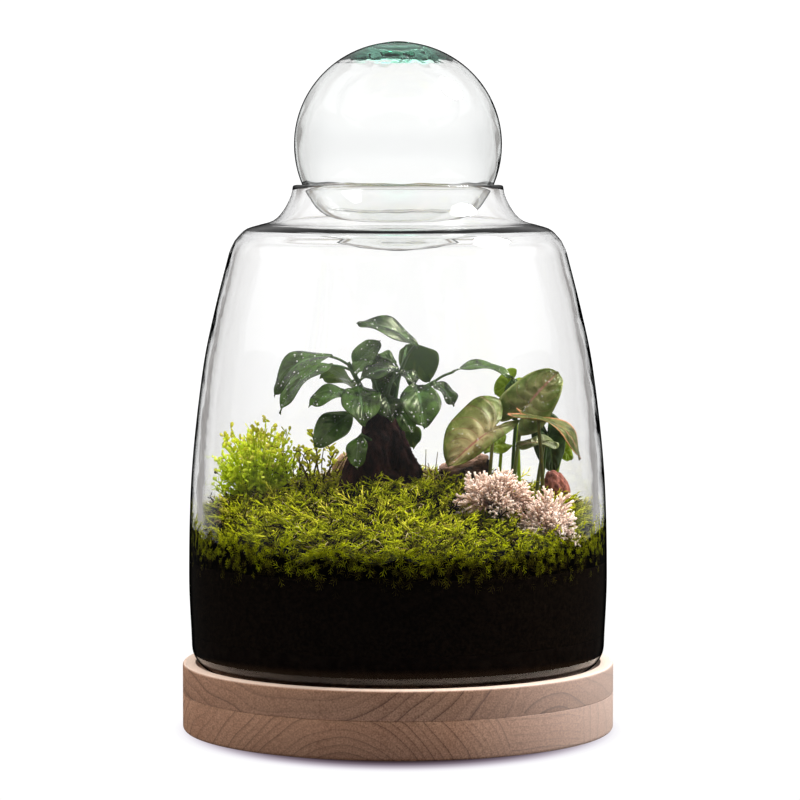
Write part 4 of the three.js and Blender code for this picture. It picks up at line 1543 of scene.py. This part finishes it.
def leaf(start: Point, base: Point, tip: Point, facing: Point, width: float,
         bow: float = 0.1) -> Blade:
    """A fig leaf whose stalk starts at a point of the stem."""
    return Blade(base, tip, facing, width, FIG_OUTLINE, bow, fold=0.16, wave=1.2, quilt=0.5,
                 start=start, seed=int(abs(base[0] * 7 + tip[2])))


FIG_SHOOTS = (
    Shoot("fig_shoot_left", ((-11, -2, 180), (-21, -2, 196), (-29, -2, 211)), 1.8, (
        leaf((-28.5, -2, 209.5), (-37.5, -5, 215), (-71, -15, 192), (-0.4, -0.5, 0.75), 22, 0.22),
        leaf((-26, -2, 206), (-38, 5, 210), (-69, 2, 181), (-0.5, -0.4, 0.75), 21, 0.14),
        leaf((-23, -2, 200), (-26, 7, 199), (-46, 25, 200), (0, 0.75, 0.65), 21),
        leaf((-22, -2, 197), (-27, -9, 195), (-51, -24, 187), (-0.1, -0.5, 0.85), 17),
        leaf((-22, -2, 198), (-23, -11, 198), (-19, -37, 177), (0, -0.6, 0.8), 23),
        leaf((-17, -2, 189), (-27, -6, 182), (-48, -18, 163), (-0.2, -0.9, 0.4), 19),
    )),
    Shoot("fig_shoot_top", ((-9, 5, 180), (-13, 4, 196), (-17, 2, 207)), 1.5, (
        leaf((-16.5, 2, 205.5), (-25, 1, 206), (-10, -3, 224), (-0.45, -0.85, 0.3), 16),
        leaf((-15, 3, 203), (-15, -2, 213.5), (-25, -12, 204), (-0.2, -0.6, 0.75), 12),
    )),
    Shoot("fig_shoot_crown", ((-3, 7, 178), (0, 7, 200), (5, 6, 214)), 1.5, (
        leaf((4.5, 6, 212.5), (11.5, 3, 219.5), (-24, -7, 234), (0.2, -0.55, 0.8), 18, 0.13),
        leaf((3, 6, 209), (4, 11, 220), (18.5, 20, 198), (0.3, 0.85, 0.4), 25),
        leaf((0.5, 7, 204), (-1, 3, 210), (-14, 6, 215), (0, -0.6, 0.8), 10),
        leaf((-1, 7, 196), (-3.5, 3, 199), (-13, -3, 216), (-0.3, -0.9, 0.3), 13),
        leaf((-0.5, 7, 199), (-3, 9, 206), (-11, 13, 189), (0.1, -0.95, 0.2), 16),
    )),
    Shoot("fig_shoot_right", ((-1, 0, 178), (10, 1, 192), (22, 1, 200)), 1.8, (
        leaf((20, 1, 199), (30, 0, 204.5), (66, -15, 203), (0, -0.3, 0.95), 14, 0.16),
        leaf((19, 1, 198.5), (21, -4, 200), (32, -12, 186), (0.6, -0.5, 0.6), 15),
        leaf((9, 1, 191), (10, -12, 199), (15, -34, 175), (0.1, -0.75, 0.6), 24),
    )),
    Shoot("fig_shoot_front", ((-6, -4, 178), (-6, -8, 192), (-3, -7, 203)), 1.4, (
        leaf((-6, -8, 192), (-8, -11, 193), (-3, -22, 178), (0.1, -0.8, 0.6), 16),
        leaf((-6, -8, 192), (0, -14, 184), (8, -22, 171), (0.3, -0.8, 0.5), 12),
        leaf((-3.5, -7, 201), (0.5, -8, 208), (-22, -22, 202), (0.1, -0.5, 0.85), 14),
        leaf((-3.8, -7, 200), (3, -4, 207), (9, -12, 198), (0.5, -0.75, 0.4), 12),
    )),
    Shoot("fig_shoot_low_left", ((-12, -6, 164), (-17, -16, 168), (-21, -21, 171)), 1.2, (
        leaf((-20, -20, 170), (-22, -23, 170.5), (-23, -31, 152), (-0.3, -0.9, 0.2), 13),
    )),
    Shoot("fig_shoot_low_right", ((-5, 5, 168), (1, 12, 172), (4, 15, 174)), 1.2, (
        leaf((3, 14, 173.5), (5.5, 16, 174), (9, 21, 159), (0.1, 0.9, 0.2), 13),
    )),
)


@dataclass
class Fig:
    """The young fig: a swollen root trunk, seven leafy shoots, and dew on its leaves."""

    # the points of each limb's middle line, and its radii
    limbs: tuple = (
        (((-6, 2, 98), (-9, 0, 134), (-10, 0, 160), (-9, 0, 187)), (17, 20, 12.5, 9.5)),
        (((-8, -2, 172), (-20, -12, 150), (-31, -20, 128)), (8, 11, 6)),
        (((-5, -2, 174), (3, -6, 150), (11, -8, 126)), (6, 8, 6)),
        (((-12, 3, 170), (-22, 10, 150), (-32, 14, 126)), (6, 8.5, 5)),
        (((-4, 4, 166), (3, 12, 148), (10, 19, 124)), (5, 8, 5)),
    )
    voxel: float = 0.95  # the lattice that the limbs grow together on
    shoots: tuple[Shoot, ...] = FIG_SHOOTS
    stalk_radii: Pair = (0.8, 0.7)
    dew: int = 22  # drops for each 20 mm of a leaf's width

    def trunk(self) -> Shape:
        """The trunk: five tapering limbs under one skin.

        The skin is moved along its normals by upright ridges and fine ripples, more at the right.
        """
        share = np.linspace(0, 1, 26)
        parts = []
        for path, radii in self.limbs:
            taper = spline(np.array(radii)[:, None], share)[:, 0]
            parts.append(tubes(spline(path, share)[None], taper, 28))
        skin = remeshed(joined(*parts), self.voxel)
        squashed = skin.points * [1, 1, 0.22]
        ridges = ripples(squashed, 7, 51, 12) + 0.6 * ripples(squashed, 3, 52, 12)
        rough = ripples(skin.points, 2.2, 53, 16)
        right = smoothstep(-16, 2, skin.points[:, 0])
        depth = (0.35 + 0.75 * right) * ridges + (0.1 + 0.3 * right) * rough
        skin.points = skin.points + skin.normals() * depth[:, None]
        return skin

    def stalk(self, blade: Blade) -> Shape:
        """A leaf's stalk, from the stem to a point just inside the blade, bent upwards."""
        end = blade.at(np.array(0.0), np.array(0.05))
        middle = (np.array(blade.start) + end) / 2 + [0, 0, 0.8]
        return stalks([[blade.start, tuple(middle), tuple(end)]], self.stalk_radii)

    def build(self) -> None:
        """Makes trunk, shoots and dew."""
        bark = RoughMatter("fig_root_bark", "#0c0606", "#38201a", grain=3.5, stretch=(1, 1, 0.35),
                           shine=0.06, roughness=0.8, relief=0.5, low=0.38, high=0.72)
        wax = LeafSkin("waxy_fig_leaf", upper="#081206", upper_light="#365016", lower="#4a602c",
                       rib="#48603c", glow="#649c0c", glow_share=0.24, roughness=0.2, shine=0.85,
                       mottle="#a8a8a8")
        draw = np.random.default_rng(61)
        add_piece("trunk", self.trunk(), bark, "fig_bark", "fig_trunk")
        dew = []
        for shoot in self.shoots:
            wood = [stalks([list(shoot.stem)], (shoot.radius, shoot.radius * 0.7), steps=14)]
            parts = []
            for number, blade in enumerate(shoot.leaves):
                wood.append(self.stalk(blade))
                green = blade.shape()
                green.tone[:] = draw.uniform(0, 1)
                parts += [wood[-1], green]
                many = int(self.dew * blade.width / 20)
                dew.append(blade.drops(many, 100 + number + int(blade.width)))
            # wood and stalks have the colour of the midrib
            for part in wood:
                part.uv[:] = 0
            add_piece(shoot.node.replace("fig_shoot", "fig_leaves"), joined(wood[0], *parts), wax,
                      "fig_leaf", shoot.node)
        add_piece("dew_on_fig", joined(*dew), Water("dew", painted_light_share=0.5), "fig_leaf")


class ArrowLook(Enum):
    """The colourings of the arrowhead plant's leaves, from old and pale to young and green."""

    PINK = LeafSkin("pink_arrowhead_leaf", upper="#5c6c26", upper_light="#a89a60", lower="#7a8450",
                    centre="#c2a380", centre_share=0.45, rib="#8a4a44", rib_width=0.025, veins=8,
                    vein_share=0.7, margin="#566a24", margin_share=0.6, glow="#a09a50",
                    glow_share=0.3, roughness=0.36, mottle="#a09878")
    GREEN = LeafSkin("green_arrowhead_leaf", upper="#3f5018", upper_light="#80804a",
                     lower="#6a7440", centre="#8a7c58", centre_share=0.4, rib="#8a5a50",
                     rib_width=0.03, veins=8, vein_share=0.4, margin="#a8aa70",
                     margin_share=0.4, glow="#8a9a30", glow_share=0.3, roughness=0.36,
                     mottle="#a0a080")
    YOUNG = LeafSkin("young_arrowhead_leaf", upper="#7a9020", upper_light="#a0b030",
                     lower="#8a9c34", rib="#b3b860", glow="#a5b814", glow_share=0.45)
    ORANGE = LeafSkin("unfolding_arrowhead_leaf", upper="#3c4a18", upper_light="#7c6a38",
                      lower="#5c5c28", centre="#6c6a34", centre_share=0.4, rib="#a8604c",
                      margin="#d08a60", margin_share=0.9, glow="#8a7a24", blotch=4.0,
                      mottle="#909070")
    DARK = LeafSkin("dark_arrowhead_leaf", upper="#1c3010", upper_light="#34561c",
                    lower="#3c5424", rib="#4c6a30", glow="#4a7a12", glow_share=0.2,
                    mottle="#b0b0b0")


ARROW_OUTLINE = (
    (0.03, 0.03), (0.14, -0.18), (0.55, -0.36), (0.97, -0.14), (1.0, 0.2), (0.84, 0.6),
    (0.42, 0.9), (0.03, 1.0),
)


@dataclass
class Arrowhead:
    """The arrowhead plant: nine leaves, each on its own stalk from the soil."""

    foot_level: float = 101.0
    stalk_radii: Pair = (1.3, 0.9)
    slimmer: float = 0.62
    # the stalk's foot, the blade's base, tip, facing and width, and its colouring
    leaves: tuple = (
        ((52, -5), (57, -12, 175), (29, -26, 153), (-0.25, -0.9, 0.35), 42, ArrowLook.PINK),
        ((66, -1), (72, 0, 182), (94, 8, 205), (-0.3, -0.85, 0.35), 31, ArrowLook.GREEN),
        ((72, 14), (68, 18, 200), (57, 20, 191), (0.1, -0.9, 0.1), 14, ArrowLook.YOUNG),
        ((66, 7), (70, 8, 184), (67, 14, 201), (-0.6, -0.75, 0.2), 13, ArrowLook.DARK),
        ((84, -12), (78, -17, 180), (103, -25, 157), (0.5, -0.25, 0.8), 20, ArrowLook.ORANGE),
        ((79, -3), (86, -2, 165), (68, -9, 163), (0, -0.45, 0.9), 12, ArrowLook.GREEN),
        ((83, 5), (87, 7, 171), (91, 12, 147), (0.2, -0.95, 0.2), 20, ArrowLook.DARK),
        ((90, 15), (97, 17, 161), (103, 20, 153), (0, -0.9, 0.3), 10, ArrowLook.YOUNG),
        ((58, 3), (61, 2, 164), (50, -3, 159), (-0.1, -0.7, 0.7), 13, ArrowLook.YOUNG),
    )

    def build(self) -> None:
        """Makes each leaf with its stalk, and dew on the two largest."""
        dew = []
        for number, (foot, base, tip, facing, width, look) in enumerate(self.leaves, 1):
            blade = Blade(base, tip, facing, width, ARROW_OUTLINE, fold=0.1, wave=1.5, quilt=0.9,
                          bow=0.2 if look is ArrowLook.ORANGE else 0.06,
                          slimmer=self.slimmer if number == 1 else 0, seed=number)
            end = blade.at(np.array(0.0), np.array(0.06))
            low = np.array([*foot, self.foot_level])
            middle = low + (end - low) * [0.3, 0.3, 0.6]
            stalk = stalks([[tuple(low), tuple(middle), tuple(end)]], self.stalk_radii, steps=16)
            # the stalk looks like the underside, away from the veins
            stalk.uv[:] = (0.6, 0.5)
            stalk.side[:] = 1
            shape = joined(stalk, blade.shape(34, 23))
            add_piece(f"arrowhead_{number}", shape, look.value, "arrow_leaf",
                      f"arrow_leaf_{number}")
            if width > 20:
                dew.append(blade.drops(70, number))
        add_piece("dew_on_arrowhead", joined(*dew), Water("bright_dew", painted_light_share=0.25),
                  "arrow_leaf")


def curved(foot: Array, middle: Array, end: Array, share: Array) -> Array:
    """Points on quadratic curves: foot (1 - t)^2 + 2 middle t (1 - t) + end t^2."""
    return foot * (1 - share) ** 2 + 2 * middle * share * (1 - share) + end * share**2


@dataclass
class Creeper:
    """The small-leaved creeper: an airy dome at the left wall, wiry stems and loose sprigs."""

    jar: Jar
    clearance: float = 0.4  # how far the dome keeps from the glass
    centre: Point = (-83.0, 8.0, 145.0)
    reach: Point = (28.0, 29.0, 31.0)
    foot: Point = (-81.0, 8.0, 116.0)
    trunk: tuple[Point, ...] = ((-80, 8, 106), (-81, 8, 125), (-83, 8, 140))
    stems: int = 150
    per_stem: int = 10
    sprigs: tuple[tuple[Point, ...], ...] = (
        ((-52, 4, 108), (-50, 3, 140), (-47, 2, 156), (-50, 0, 170)),
        ((-44, 16, 108), (-43, 16, 140), (-38, 17, 152), (-41, 18, 161)),
        ((-60, 22, 108), (-58, 22, 138), (-52, 20, 150), (-54, 19, 158)),
    )

    def leaflet(self) -> Shape:
        """A small spoon-shaped leaf, 1 long along z, thin along y."""
        share = np.array([0.12, 0.45, 0.75, 0.95])
        half = np.array([0.07, 0.26, 0.34, 0.18])
        lift = 0.18 * share**2
        across = np.array([-1, 0, 1])
        top = np.stack([across * half[:, None], (lift + 0.035)[:, None] + 0.05 * across**2,
                        share[:, None] + 0 * across], -1)
        bottom = (top - [0, 0.07, 0])[:, ::-1]
        rings = np.concatenate([bottom, top], 1)
        spoon = skins(rings[None], np.zeros((1, 3)), np.array([[0, 0.2, 1.0]]))
        spoon.uv[:, 1] = 0.4 + 0.6 * spoon.uv[:, 1]
        return spoon

    def dome(self) -> Shape:
        """The bush: stems that spread from one foot, with leaves that are paler higher up."""
        draw = np.random.default_rng(17)
        stems = self.stems
        out = unit(golden_directions(stems, -0.25) + draw.normal(0, 0.12, (stems, 3)))
        ends = self.centre + out * self.reach * draw.uniform(0.66, 1.08, (stems, 1))
        foot = self.foot + draw.normal(0, 3, (stems, 3))
        middle = foot + (ends - foot) * [0.35, 0.35, 0.6]
        share = np.linspace(0, 1, 6)[:, None]
        lines = curved(foot[:, None], middle[:, None], ends[:, None], share)
        wood = tubes(lines, np.linspace(0.55, 0.28, 6), 4, np.full(stems, 0.15))
        spots = draw.uniform(0.5, 1.0, (stems, self.per_stem)) ** 0.7
        spots[:, 0] = 1
        index = np.repeat(np.arange(stems), self.per_stem)
        start, end, count = foot[index], ends[index], len(index)
        places = curved(start, middle[index], end, spots.ravel()[:, None])
        ways = unit(draw.normal(0, 1, (count, 3)) + unit(end - start) * 0.9)
        high = smoothstep(138, 180, places[:, 2])
        tones = np.clip(0.3 + 0.6 * high + draw.normal(0, 0.16, count), 0, 1)
        frames = frames_along(ways, draw.normal(0, 1, (count, 3)) + [0, 0, 0.6])
        leaves = self.leaflet().copies(places, frames, draw.uniform(2.3, 4.3, count), tones)
        return joined(wood, leaves, stalks([list(self.trunk)], (1.6, 1.4)))

    def sprig(self, path: tuple[Point, ...], seed: int) -> Shape:
        """A loose sprig.

        Args:
            path: The points of its stem.
            seed: The seed of its leaves.

        Returns:
            A thin stem, with leaves that follow each other round its upper half.
        """
        draw = np.random.default_rng(seed)
        count = 16
        places = spline(path, np.linspace(0.55, 1.0, count))
        ways = around(1.0, np.arange(count) * LEAF_TURN, draw.uniform(0.2, 0.9, count))
        frames = frames_along(ways, [0, 0, 1.0] + draw.normal(0, 0.3, (count, 3)))
        tones = draw.uniform(0.6, 1.0, count)
        leaves = self.leaflet().copies(places, frames, draw.uniform(3.5, 5.6, count), tones)
        return joined(stalks([list(path)], (0.7, 0.35), steps=18), leaves)

    def wiry_stems(self) -> Shape:
        """Wiry stems beside the bush, each with five leaves, and bare ones beside the trunk.

        A stem is foot + lean . share with a wriggle, and rises as a quarter of a sine wave.
        """
        draw = np.random.default_rng(23)
        count = 26
        x, y = draw.uniform(-64, -32, (count, 1)), draw.uniform(-12, 24, (count, 1))
        lean = draw.normal(0, 9, (count, 2))
        tall = draw.uniform(22, 46, (count, 1))
        share = np.linspace(0, 1, 9)
        curves = np.stack([
            x + lean[:, :1] * share**1.5 + 1.5 * np.sin(6 * share + x),
            y + lean[:, 1:] * share,
            118.0 + tall * np.sin(0.5 * np.pi * share),
        ], -1)
        stems = tubes(curves, np.linspace(0.4, 0.22, 9), 4)
        spots = curves[:, 4:].reshape(-1, 3)
        ways = unit(draw.normal(0, 1, spots.shape) + [0, 0, 0.4])
        frames = frames_along(ways, draw.normal(0, 1, spots.shape))
        tones = draw.uniform(0.75, 1.0, len(spots))
        leaves = self.leaflet().copies(spots, frames, draw.uniform(2.2, 3.8, len(spots)), tones)
        bare = 16
        foot = np.stack([draw.uniform(4, 32, bare), draw.uniform(-8, 12, bare),
                         np.full(bare, 134.0)], -1)
        tip = foot + np.stack([draw.normal(0, 5, bare), draw.normal(0, 4, bare),
                               draw.uniform(14, 27, bare)], -1)
        middle = (foot + tip) / 2 + draw.normal(0, 1, (bare, 3))
        twigs = tubes(np.stack([foot, middle, tip], 1), np.array([0.35, 0.3, 0.2]), 4)
        return joined(stems, leaves, twigs)

    def build(self) -> None:
        """Makes the bush, the wiry stems beside it and the sprigs."""
        shades = ((0.0, "#5a4a1c"), (0.15, "#b8c824"), (0.5, "#e6f052"), (0.72, "#e6dc6c"),
                  (1.0, "#857440"))
        green = ThinGrowth("creeper_foliage", shades, glow="#e4ee30", share=0.6, foot=0.85,
                           roughness=0.45)
        bush = self.dome()
        limit = self.jar.inner_radius(bush.points[:, 2]) - self.clearance
        bush.points = held_within(bush.points, limit)
        add_piece("creeper_dome", bush, green, "creeper_leaf", "creeper_bush")
        add_piece("wiry_stems", self.wiry_stems(), green, "creeper_leaf")
        for number, path in enumerate(self.sprigs, 1):
            add_piece(f"sprig_{number}", self.sprig(path, 60 + number), green, "creeper_leaf",
                      f"creeper_sprig_{number}")


@dataclass
class Finds:
    """What lies on the moss: lichen, a bark chip, two stones and dry twigs."""

    ground: Ground
    # node, middle, half widths, number of branches and seed
    clumps: tuple = (
        ("lichen_left", (54, -50, 134), (18, 14, 16), 74, 3),
        ("lichen_right", (82, -59, 120), (14, 14, 18), 74, 5),
    )
    chip_half: Point = (14.5, 8.2, 6.2)
    chip_place: Point = (39.0, 4.0, 149.0)
    chip_turns: Pair = (-14.0, 10.0)  # about the y axis, then about the z axis, in degrees
    # piece, node, middle, half widths, roughness, seed and finish
    stones: tuple = (
        ("red_stone", "stone_red", (91, -6, 138), (8, 6, 11), 0.08, 81,
         RoughMatter("red-brown_stone", "#4a241c", "#9a5a48", grain=3, relief=0.5)),
        ("brown_stone", "stone_brown", (-31, 30, 147), (8, 6, 9), 0.07, 83,
         RoughMatter("light_brown_stone", "#7c5f46", "#b9977a", grain=3, relief=0.5)),
    )
    twigs: tuple[tuple[Point, ...], ...] = (
        ((-88, -45, 119), (-80, -49, 121), (-70, -51, 121.5)),
        ((-14, -66, 121), (2, -70, 121), (16, -68, 122)),
        ((-52, -62, 122), (-44, -70, 119), (-40, -78, 116)),
    )

    def swayed(self, share: Array) -> Array:
        """Points of a lichen stem 1 long that sways sideways: (0.07 sin 3 s, 0, s)."""
        return np.stack([0.07 * np.sin(3 * share), 0 * share, share], -1)

    def coral(self) -> Shape:
        """One lichen branch, 1 long: a stem with six forks round it, and two knobs on each.

        uv rises towards the ends, which are paler, and the finish darkens the foot as painted
        shade.
        """
        stem = self.swayed(np.linspace(0, 1, 5))
        main = tubes(stem[None], np.array([0.045, 0.04, 0.036, 0.034, 0.05]), 5)
        main.uv[:, 1] = 0.75 * main.uv[:, 1]
        low = np.array([0.3, 0.42, 0.54, 0.64, 0.74, 0.82])
        start = self.swayed(low)
        out = unit(around(1.0, LEAF_TURN * np.arange(len(low)) + 0.3, 1.3))
        reach = np.linspace(0.56, 0.28, len(low))[:, None]
        ends = start + out * reach + [0, 0, 0.07]
        paths = np.stack([start, start + out * reach * 0.55, ends], 1)
        forks = tubes(paths, np.array([0.028, 0.028, 0.044]), 4)
        side = unit(np.cross(out, [0, 0, 1.0]))
        middle = np.tile(start + out * reach * 0.6, (2, 1))
        way = unit(np.concatenate([side, -side]) + np.tile(out, (2, 1)) * 1.2)
        short = np.tile(reach * 0.45, (2, 1))
        paths = np.stack([middle, middle + way * short * 0.5, middle + way * short], 1)
        knobs = spindles(paths, np.array([0, 0.032, 0]))
        for part, first in ((forks, 0.45), (knobs, 0.62)):
            part.uv[:, 1] = first + (1 - first) * part.uv[:, 1]
        return joined(main, forks, knobs)

    def clump(self, centre: Point, reach: Point, count: int, seed: int) -> Shape:
        """A clump of lichen.

        Args:
            centre: Its middle.
            reach: Its half widths.
            count: How many branches it has.
            seed: The seed of their sizes and directions.

        Returns:
            Branches all over a rounded core, leaning upwards.
        """
        draw = np.random.default_rng(seed)
        out = golden_directions(count, -0.5)
        wander = draw.normal(0, 0.25, (count, 3))
        span = np.linalg.norm(out * reach, axis=1) * draw.uniform(0.65, 1.05, count)
        places = centre + out * reach * draw.uniform(0.1, 0.35, (count, 1))
        ways = unit(out + [0, 0, 0.35] + wander)
        frames = frames_along(ways, draw.normal(0, 1, (count, 3)))
        tones = np.clip(0.5 + draw.normal(0, 0.25, count), 0, 1)
        branches = self.coral().copies(places, frames, span, tones)
        core = boulder(centre, tuple(0.3 * r for r in reach), 0.08, 0.3, seed)
        # the core takes a dark tone and the foot's painted shade
        core.tone[:] = 0.1
        core.uv[:, 1] = 0.05
        return joined(core, branches)

    def chip(self) -> Shape:
        """The bark chip: a rough slab, its long side lying down to the right.

        It is a ball squared by raising its coordinates to 0.45 and moved by ripples, and its
        tone marks the broken top.
        """
        slab = ball_shape(60, 90)
        squared = np.sign(slab.points) * np.abs(slab.points) ** 0.45
        slab.points = squared * self.chip_half
        rough = 0.9 * ripples(slab.points * [0.35, 1, 1], 5, 71, 12)
        rough += 0.35 * ripples(slab.points, 1.8, 72, 14)
        slab.points = slab.points + unit(slab.points) * rough[:, None]
        slab.tone[:] = smoothstep(1.8, 3.4, slab.points[:, 2] + 0.8 * rough)
        (a, b), (c, d) = ((np.cos(t), np.sin(t)) for t in np.radians(self.chip_turns))
        about_y = np.array([[a, 0, b], [0, 1, 0], [-b, 0, a]])
        about_z = np.array([[c, -d, 0], [d, c, 0], [0, 0, 1]])
        slab.points = slab.points @ (about_z @ about_y).T + self.chip_place
        return slab

    def build(self) -> None:
        """Makes every find."""
        shades = ((0.0, "#b08d76"), (0.35, "#dcbca6"), (0.7, "#eed6c4"), (1.0, "#faece0"))
        lichen = ThinGrowth("coral_lichen", shades, glow="#fbe0cc", foot=0.4,
                            tip="#fdf2e8", tip_share=0.7, roughness=0.9)
        for node, centre, reach, count, seed in self.clumps:
            clump = self.ground.pressed(self.clump(centre, reach, count, seed))
            add_piece(node.replace("lichen", "coral_lichen"), clump, lichen, "lichen", node)
        bark = RoughMatter("dry_bark", "#1a1210", "#6b4a38", grain=4, stretch=(0.4, 1, 1),
                           relief=0.7, low=0.42, high=0.7, bare="#b8907c")
        add_piece("chip", self.chip(), bark, "bark", "bark_chip")
        for piece, node, centre, size, roughness, seed, matter in self.stones:
            add_piece(piece, boulder(centre, size, roughness, 0.2, seed), matter, piece, node)
        dry = RoughMatter("dry_twig", "#1f1610", "#5c4430", grain=2, stretch=(0.4, 1, 1))
        for number, path in enumerate(self.twigs, 1):
            stick = stalks([list(path)], (1.0, 0.7), steps=14)
            knots = ripples(stick.points, 3, 90 + number, 10)
            stick.points = stick.points + np.array([0.25, 0.25, 0.35]) * knots[:, None]
            add_piece(f"twig_{number}", stick, dry, "dry_wood", f"dry_twig_{number}")


# Studio


@dataclass(frozen=True)
class WhitePaper(Finish):
    """White studio paper, evenly bright, with a painted shadow where the board stands."""

    oval: Pair = (130.0, 160.0)  # the half width and half depth of the painted shadow's outermost oval
    # the painted shadow's colours, from under the board out to white
    shadow: Stops = (
        (0.0, "#2b1f21"), (0.15, "#4a3d45"), (0.33, "#7c707c"), (0.54, "#bdb4bf"),
        (0.68, "#e2dde5"), (0.8, "#f6f4f8"), (0.95, "#ffffff"),
    )

    def surface(self, add: Adder) -> Socket:
        """Matt white, glowing for the camera, with the board's soft painted shadow in front.

        Args:
            add: Adds a node to the material.

        Returns:
            The shader.
        """
        seen = add("LightPath", out="Is Camera Ray")
        through = add("LightPath", out="Is Transmission Ray")
        either = add("Math.MAXIMUM", {0: seen, 1: through})
        # painted shadow: dark inside an oval round the board, which reaches furthest to the front
        place = add("TexCoord", out="Object")
        scale = {0: place, 1: (1 / (self.oval[0] * MM), 1 / (self.oval[1] * MM), 0.0)}
        scaled = add("VectorMath.MULTIPLY", scale)
        reach = add("VectorMath.LENGTH", {0: scaled}, "Value")
        share = add("MapRange", {0: reach, 1: 0.76, 2: 1.02, 3: 0.0, 4: 1.0})
        shade = add("ValToRGB", {"Fac": share}, stops=self.shadow)
        bright = add("Emission", {"Color": shade, "Strength": 1.02})
        matt = add("BsdfDiffuse", {"Color": "#a8a8a8"})
        return add("MixShader", {0: either, 1: matt, 2: bright})


@dataclass
class Studio:
    """White floor, white surroundings, soft lamps and the camera."""

    floor: Point = (700.0, -380.0, 520.0)  # its half width, its front and its back
    camera_place: Point = (1.16, -2025.0, 315.5)
    camera_pitch: float = 86.469  # degrees up from straight down
    lens: float = 157.6
    aim: Point = (0.0, 0.0, 150.0)
    # name, place, size, power in watts, and whether the glass mirrors it
    lamps: tuple[tuple[str, Point, Pair, float, bool], ...] = (
        ("overhead", (760, 60, 1150), (460, 400), 30, True),
        ("top", (-100, -100, 1300), (700, 700), 20, False),
        ("left_side", (-1400, 200, 800), (500, 700), 12, False),
        ("right_side", (1500, 100, 500), (500, 700), 13, False),
        ("rear_left", (-800, 1500, 700), (500, 500), 22, False),
        ("rear_right", (700, 1500, 700), (500, 500), 14, False),
    )
    # what is seen through the glass, from behind the camera to straight ahead: the dim room, a
    # grey ring round a paler one, and the white wall
    wall: Stops = (
        (0.0, "#6a6a6a"), (0.3, "#2a2a2a"), (0.45, "#202020"), (0.53, "#8a8886"),
        (0.61, "#b2b0ae"), (0.9, "#aca9a7"), (0.91, "#ffffff"),
    )
    dim: str = "#1c1c1c"  # what the glass mirrors of the room
    ceiling: tuple[str, str] = ("#f0f0f0", "#a0a0a0")  # seen through the glass, and mirrored
    ground: str = "#6a5240"
    front_light: float = 0.19
    rear_light: float = 0.75

    def paper(self) -> None:
        """Lays the paper that the object stands on, which isn't part of it."""
        side, front, rear = (reach * MM for reach in self.floor)
        corners = [(-side, front, 0), (side, front, 0), (side, rear, 0), (-side, rear, 0)]
        mesh = bpy.data.meshes.new("floor")
        mesh.from_pydata(corners, [], [(0, 1, 2, 3)])
        mesh.materials.append(WhitePaper("white_paper").material())
        panel = placed("floor", mesh)
        panel.visible_glossy = False

    def lamp(self, name: str, place: Point, size: Pair, power: float, mirrored: bool) -> None:
        """Hangs a soft oval lamp that points at the plants.

        Args:
            name: Its name.
            place: Where it hangs.
            size: Its width and height.
            power: Its power in watts.
            mirrored: Whether the glass mirrors it.
        """
        data = bpy.data.lights.new(name, "AREA")
        data.shape = "ELLIPSE"
        data.size, data.size_y = size[0] * MM, size[1] * MM
        data.energy = power
        lamp = placed(name, data)
        lamp.location = Vector(place) * MM
        lamp.visible_glossy = mirrored
        lamp.visible_transmission = mirrored
        aim = Vector(self.aim) - Vector(place)
        lamp.rotation_euler = aim.to_track_quat("-Z", "Y").to_euler()

    def surroundings(self) -> None:
        """A white wall behind and a dim room in front, whose mirror image is nearly black."""
        world = bpy.data.worlds.new("white_room")
        bpy.context.scene.world = world
        world.use_nodes = True
        world.node_tree.nodes.clear()
        add = partial(add_node, world.node_tree)
        way = add("TexCoord", out="Generated")
        depth, height = (add("SeparateXYZ", {0: way}, axis) for axis in "YZ")
        colour = add("ValToRGB", {"Fac": depth}, stops=self.wall)
        mirrored = add("LightPath", out="Is Reflection Ray")
        above = add("Mix", {0: mirrored, 6: self.ceiling[0], 7: self.ceiling[1]}, **BLEND)
        upper = add("MapRange", {0: height, 1: 0.1, 2: 0.32, 3: 0.0, 4: 1.0})
        lower = add("MapRange", {0: height, 1: -0.25, 2: -0.5, 3: 0.0, 4: 1.0})
        light = {0: depth, 1: -0.25, 2: 0.15, 3: self.front_light, 4: self.rear_light}
        level = add("MapRange", light)
        grey = add("CombineColor", {0: level, 1: level, 2: level})
        soft = add("LightPath", out="Is Diffuse Ray")
        layers = ((mirrored, self.dim), (upper, above), (lower, self.ground), (soft, grey))
        for share, layer in layers:
            colour = add("Mix", {0: share, 6: colour, 7: layer}, **BLEND)
        background = add("Background", {"Color": colour, "Strength": 1.13})
        add("OutputWorld", {"Surface": background})

    def build(self) -> None:
        """Makes the camera first, then floor, lamps and surroundings."""
        data = bpy.data.cameras.new("camera")
        data.lens = self.lens
        data.clip_end = 100
        camera = placed("camera", data)
        camera.location = Vector(self.camera_place) * MM
        camera.rotation_euler = (np.radians(self.camera_pitch), 0, 0)
        bpy.context.scene.camera = camera
        bpy.context.scene.view_settings.view_transform = "Standard"
        self.paper()
        for lamp in self.lamps:
            self.lamp(*lamp)
        self.surroundings()


def main() -> None:
    """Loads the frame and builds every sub-assembly around it."""
    logging.basicConfig(level=logging.INFO, format="%(message)s")
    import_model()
    Studio().build()
    Board().build()
    jar = Jar()
    jar.build()
    Stopper().build()
    ground = Ground(jar)
    ground.build()
    Fig().build()
    Arrowhead().build()
    Creeper(jar).build()
    Finds(ground).build()
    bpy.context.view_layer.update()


if __name__ == "__main__":
    main()
